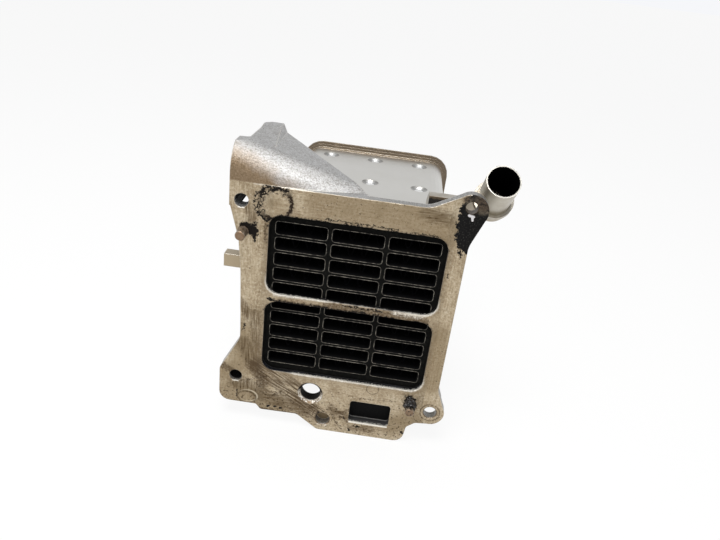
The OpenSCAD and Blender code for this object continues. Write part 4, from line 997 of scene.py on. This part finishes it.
# Pressed sheet is a soft grey and black where the joint leaked; its front faces are painted brown as shade
box_sheet, tree, shader, point = start_finish("stainless_sheet_pressed_with_soot", 0.8, 0.42)
axes = add(tree, "ShaderNodeSeparateXYZ", {0: point})
way = add(tree, "ShaderNodeNewGeometry").outputs["Normal"]
side_y = add(tree, "ShaderNodeSeparateXYZ", {0: way}).outputs[1]
grime = add(tree, "ShaderNodeTexNoise",
            {"Vector": point, "Scale": 1 / BOX_GRIME_MM, "Detail": 4.0, "Roughness": 0.65})
haze = add(tree, "ShaderNodeTexNoise", {"Vector": point, "Scale": 1 / BOX_HAZE_MM, "Detail": 4.0})
hazy = add(tree, "ShaderNodeMapRange", {0: haze, 1: 0.40, 2: 0.64})
forward = add(tree, "ShaderNodeMapRange", {0: side_y, 1: -0.4, 2: -0.8})
print("box: soot", BOX_GRIME_MM, "mm, haze", BOX_HAZE_MM, "mm")

# %% Soot of the leak, and painted shade inside the box
SOCKET_R = 9.6              # radius in mm within which the box's inside is dark
top_line = add(tree, "ShaderNodeMath", {0: grime, 1: 3.0, 2: axes.outputs[2]}, operation="MULTIPLY_ADD")
lower = add(tree, "ShaderNodeMapRange", {0: top_line, 1: 69.0, 2: 67.6})
left = add(tree, "ShaderNodeMapRange", {0: axes.outputs[0], 1: 60.0, 2: 54.0})
soot_and_inner_shade = overlap(tree, [forward, lower, left])
rel, reach = along_stub(tree, point)
# Surfaces inside the socket that look in towards the axis are painted black, as shade
inside = add(tree, "ShaderNodeMath", {0: off_stub(tree, rel), 1: SOCKET_R}, operation="LESS_THAN")
on_axis = add(tree, "ShaderNodeVectorMath", {0: ALONG, "Scale": reach}, operation="SCALE")
outward = add(tree, "ShaderNodeVectorMath", {0: rel, 1: on_axis}, operation="SUBTRACT")
outward = add(tree, "ShaderNodeVectorMath", {0: outward, 1: way}, operation="DOT_PRODUCT")
looks_in = add(tree, "ShaderNodeMath", {0: outward.outputs["Value"], 1: 0.0}, operation="LESS_THAN")
inside = overlap(tree, [inside, looks_in])
soot_and_inner_shade = strongest(tree, [soot_and_inner_shade, inside])
print("soot on the box:", len(tree.nodes), "nodes so far")

# %% Finish of the coolant box
# Front faces are painted brown as shade, and lighter again from X 54 mm rightwards
right_side = add(tree, "ShaderNodeMapRange", {0: axes.outputs[0], 1: 54.0, 2: 58.0, 4: 0.85})
right_side = overlap(tree, [right_side, forward])
colour = layered(tree, tint("#B9B5AC"), [(hazy, "#A29A8C"), (forward, "#80705C"), (right_side, "#BDB3A2"),
                                         (soot_and_inner_shade, "#140F0C")])
dull = add(tree, "ShaderNodeMapRange", {0: soot_and_inner_shade, 3: 0.8, 4: 0.0})
rough = add(tree, "ShaderNodeMapRange", {0: soot_and_inner_shade, 3: 0.40, 4: 0.65})
bevel = add(tree, "ShaderNodeBevel", {"Radius": 0.0006}, samples=4)
relief = add(tree, "ShaderNodeBump", {"Strength": 0.3, "Distance": 0.0002, "Height": grime, "Normal": bevel})
wire(tree, shader, {"Base Color": colour, "Metallic": dull, "Roughness": rough, "Normal": relief})
print("coolant box:", len(tree.nodes), "nodes")

# %% [markdown]
# Pins, sealant and gasket
#
# The dowel pins are hardened steel, browned by heat, and the lower one still wears a crust of wet black
# sealant. Two materials would do, but the pins are alike, so they share one that knows the lower pin by its
# height. The bead round the can and the ring in the horn are black and rubbery, no metal, with a soft
# sheen. The seal at the windows is pressed graphite.

# %% Pins
PIN_GRIME_MM = 1.4          # spots of brown and of sealant
END_Y = (-7.6, -7.8)        # depths in mm between which the end face begins
# Hardened steel that got hot is a warm brown, greyer where it is rubbed
pin, tree, shader, point = start_finish("hardened_steel_browned", 0.7, 0.42)
axes = add(tree, "ShaderNodeSeparateXYZ", {0: point})
grime = add(tree, "ShaderNodeTexNoise",
            {"Vector": point, "Scale": 1 / PIN_GRIME_MM, "Detail": 4.0, "Roughness": 0.65})
low_pin = add(tree, "ShaderNodeMath", {0: axes.outputs[2], 1: 0.0}, operation="LESS_THAN")
ragged_depth = add(tree, "ShaderNodeMath", {0: grime, 1: 5.0, 2: axes.outputs[1]}, operation="MULTIPLY_ADD")
shank = add(tree, "ShaderNodeMapRange", {0: ragged_depth, 1: -4.6, 2: -3.8})
mottled = add(tree, "ShaderNodeMapRange", {0: grime, 1: 0.54, 2: 0.60, 4: 0.8})
shank = strongest(tree, [shank, mottled])
crusted = overlap(tree, [shank, low_pin])
browned = add(tree, "ShaderNodeMapRange", {0: grime, 1: 0.42, 2: 0.62})
end_face = add(tree, "ShaderNodeMapRange", {0: axes.outputs[1], 1: END_Y[0], 2: END_Y[1], 4: 0.8})
colour = layered(tree, tint("#9A8C7C"), [(browned, "#6B5846"), (end_face, "#80674F"), (crusted, "#15120F")])
dull = add(tree, "ShaderNodeMapRange", {0: crusted, 3: 0.7, 4: 0.0})
rough = add(tree, "ShaderNodeMapRange", {0: crusted, 3: 0.42, 4: 0.22})
relief = add(tree, "ShaderNodeBump", {"Strength": 0.6, "Distance": 0.0005, "Height": grime})
wire(tree, shader, {"Base Color": colour, "Metallic": dull, "Roughness": rough, "Normal": relief})
print("pins:", len(tree.nodes), "nodes")

# %% Sealant
BEAD_MM = 4.0               # lumps of a squeezed-out bead
# Cured silicone is black with a soft sheen and shallow lumps
black_sealant, tree, shader, point = start_finish("silicone_sealant_cured_black", 0.0, 0.5)
lumps = add(tree, "ShaderNodeTexNoise", {"Vector": point, "Scale": 1 / BEAD_MM, "Detail": 4.0})
grey = add(tree, "ShaderNodeMapRange", {0: lumps, 1: 0.45, 2: 0.75})
colour = layered(tree, tint("#171717"), [(grey, "#2B2A29")])
relief = add(tree, "ShaderNodeBump", {"Strength": 0.6, "Distance": 0.0006, "Height": lumps})
wire(tree, shader, {"Base Color": colour, "Normal": relief})
print("sealant:", len(tree.nodes), "nodes")

# %% Gasket
FLAKE_MM = 1.0              # flakes of graphite
# Pressed graphite is dark grey with a faint flaky shimmer
gasket, tree, shader, point = start_finish("graphite_gasket_pressed", 0.1, 0.6)
flakes = add(tree, "ShaderNodeTexNoise", {"Vector": point, "Scale": 1 / FLAKE_MM, "Detail": 3.0})
flaky = add(tree, "ShaderNodeMapRange", {0: flakes, 1: 0.45, 2: 0.75})
colour = layered(tree, tint("#1A1A1A"), [(flaky, "#343434")])
wire(tree, shader, {"Base Color": colour})
print("gasket:", len(tree.nodes), "nodes")

# %% [markdown]
# The crust on the lower pin
#
# Sealant was squeezed out round the lower pin and set there in torn, shiny lumps. A bump pattern would
# leave it flat from the side, so it is a piece of its own: a ball pressed against the face, pushed in and
# out by a cloud pattern, and cut off flat where it meets the casting.

# %% Ball for the crust on the lower pin
CRUST_AT, CRUST_R = (0.0466, -0.0012, -0.0640), 0.0041
STRETCH = (1.0, 0.85, 1.15)                 # flatter against the face, and longer up and down
bpy.ops.object.select_all(action="DESELECT")
bpy.ops.mesh.primitive_ico_sphere_add(subdivisions=5, radius=CRUST_R, location=CRUST_AT)
pin_crust = bpy.context.object
pin_crust.name = "sealant_crust_lower_pin"
bpy.ops.object.mode_set(mode="EDIT")
bpy.ops.transform.resize(value=STRETCH)
bpy.ops.object.mode_set(mode="OBJECT")
bpy.ops.object.transform_apply(location=True, rotation=True, scale=True)
print("ball:", len(pin_crust.data.vertices), "points")

# %% Lumps of the crust, and its cut at the face
LUMP_M, LUMP_HIGH_M = 0.0019, 0.0034        # size of a lump, and how far it stands out
CUT_Y = 0.0001                              # where the crust is cut off, just inside the face
SMOOTH_UP_TO = math.radians(50)
lumps = bpy.data.textures.new("torn_sealant_lumps", "CLOUDS")
lumps.noise_scale = LUMP_M
lumps.noise_depth = 2
push = pin_crust.modifiers.new("lumps", "DISPLACE")
push.texture = lumps
push.texture_coords = "LOCAL"
push.strength = LUMP_HIGH_M
push.mid_level = 0.5
bpy.ops.object.modifier_apply(modifier="lumps")
bpy.ops.object.mode_set(mode="EDIT")
bpy.ops.mesh.select_all(action="SELECT")
bpy.ops.mesh.bisect(plane_co=(0, CUT_Y, 0), plane_no=(0, 1, 0), use_fill=True, clear_outer=True)
bpy.ops.object.mode_set(mode="OBJECT")
bpy.ops.object.shade_smooth_by_angle(angle=SMOOTH_UP_TO)
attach(pin_crust, "root")
print("crust:", len(pin_crust.data.polygons), "faces, mm:",
      [round(1000 * v, 1) for v in pin_crust.dimensions])

# %% Finish of the crust
BIT_MM = 0.8                # brown bits of oil and dirt in the sealant
# Torn, oily silicone looks like wet black lumps with brown bits
torn_sealant, tree, shader, point = start_finish("silicone_sealant_torn_and_oily", 0.0, 0.26)
bits = add(tree, "ShaderNodeTexNoise", {"Vector": point, "Scale": 1 / BIT_MM, "Detail": 3.0})
brown_bits = add(tree, "ShaderNodeMapRange", {0: bits, 1: 0.50, 2: 0.68})
colour = layered(tree, tint("#12100F"), [(brown_bits, "#3A3029")])
relief = add(tree, "ShaderNodeBump", {"Strength": 0.6, "Distance": 0.0004, "Height": bits})
wire(tree, shader, {"Base Color": colour, "Normal": relief})
pin_crust.data.materials.append(torn_sealant)
print("finish of the crust:", len(tree.nodes), "nodes")

# %% [markdown]
# Handing out the finishes
#
# Every solid keeps its shape, so it only needs its material slots filled. A table names the finish of each
# single piece. Tubes and strips are many, so they are told by the start of their names.

# %% Give each node its finish
FINISHES = {
    "flange_casting": casting, "header_seal": gasket, "front_header": soot_sheet, "can_shell": sheet,
    "rear_header": rim, "turning_cap": rim, "core_sealant_bead": black_sealant, "inlet_box": box_sheet,
    "inlet_collar": collar, "inlet_pipe": stub, "outlet_seal": black_sealant,
    "dowel_pin_upper": pin, "dowel_pin_lower": pin,
}
for name, node in nodes.items():
    finish = FINISHES.get(name) or (tube_metal if name.startswith("gas_tube") else strip)
    for holder in node.material_slots:
        holder.material = finish
used = {holder.material.name for node in nodes.values() for holder in node.material_slots}
print("dressed:", len(nodes), "nodes with", len(used), "finishes")
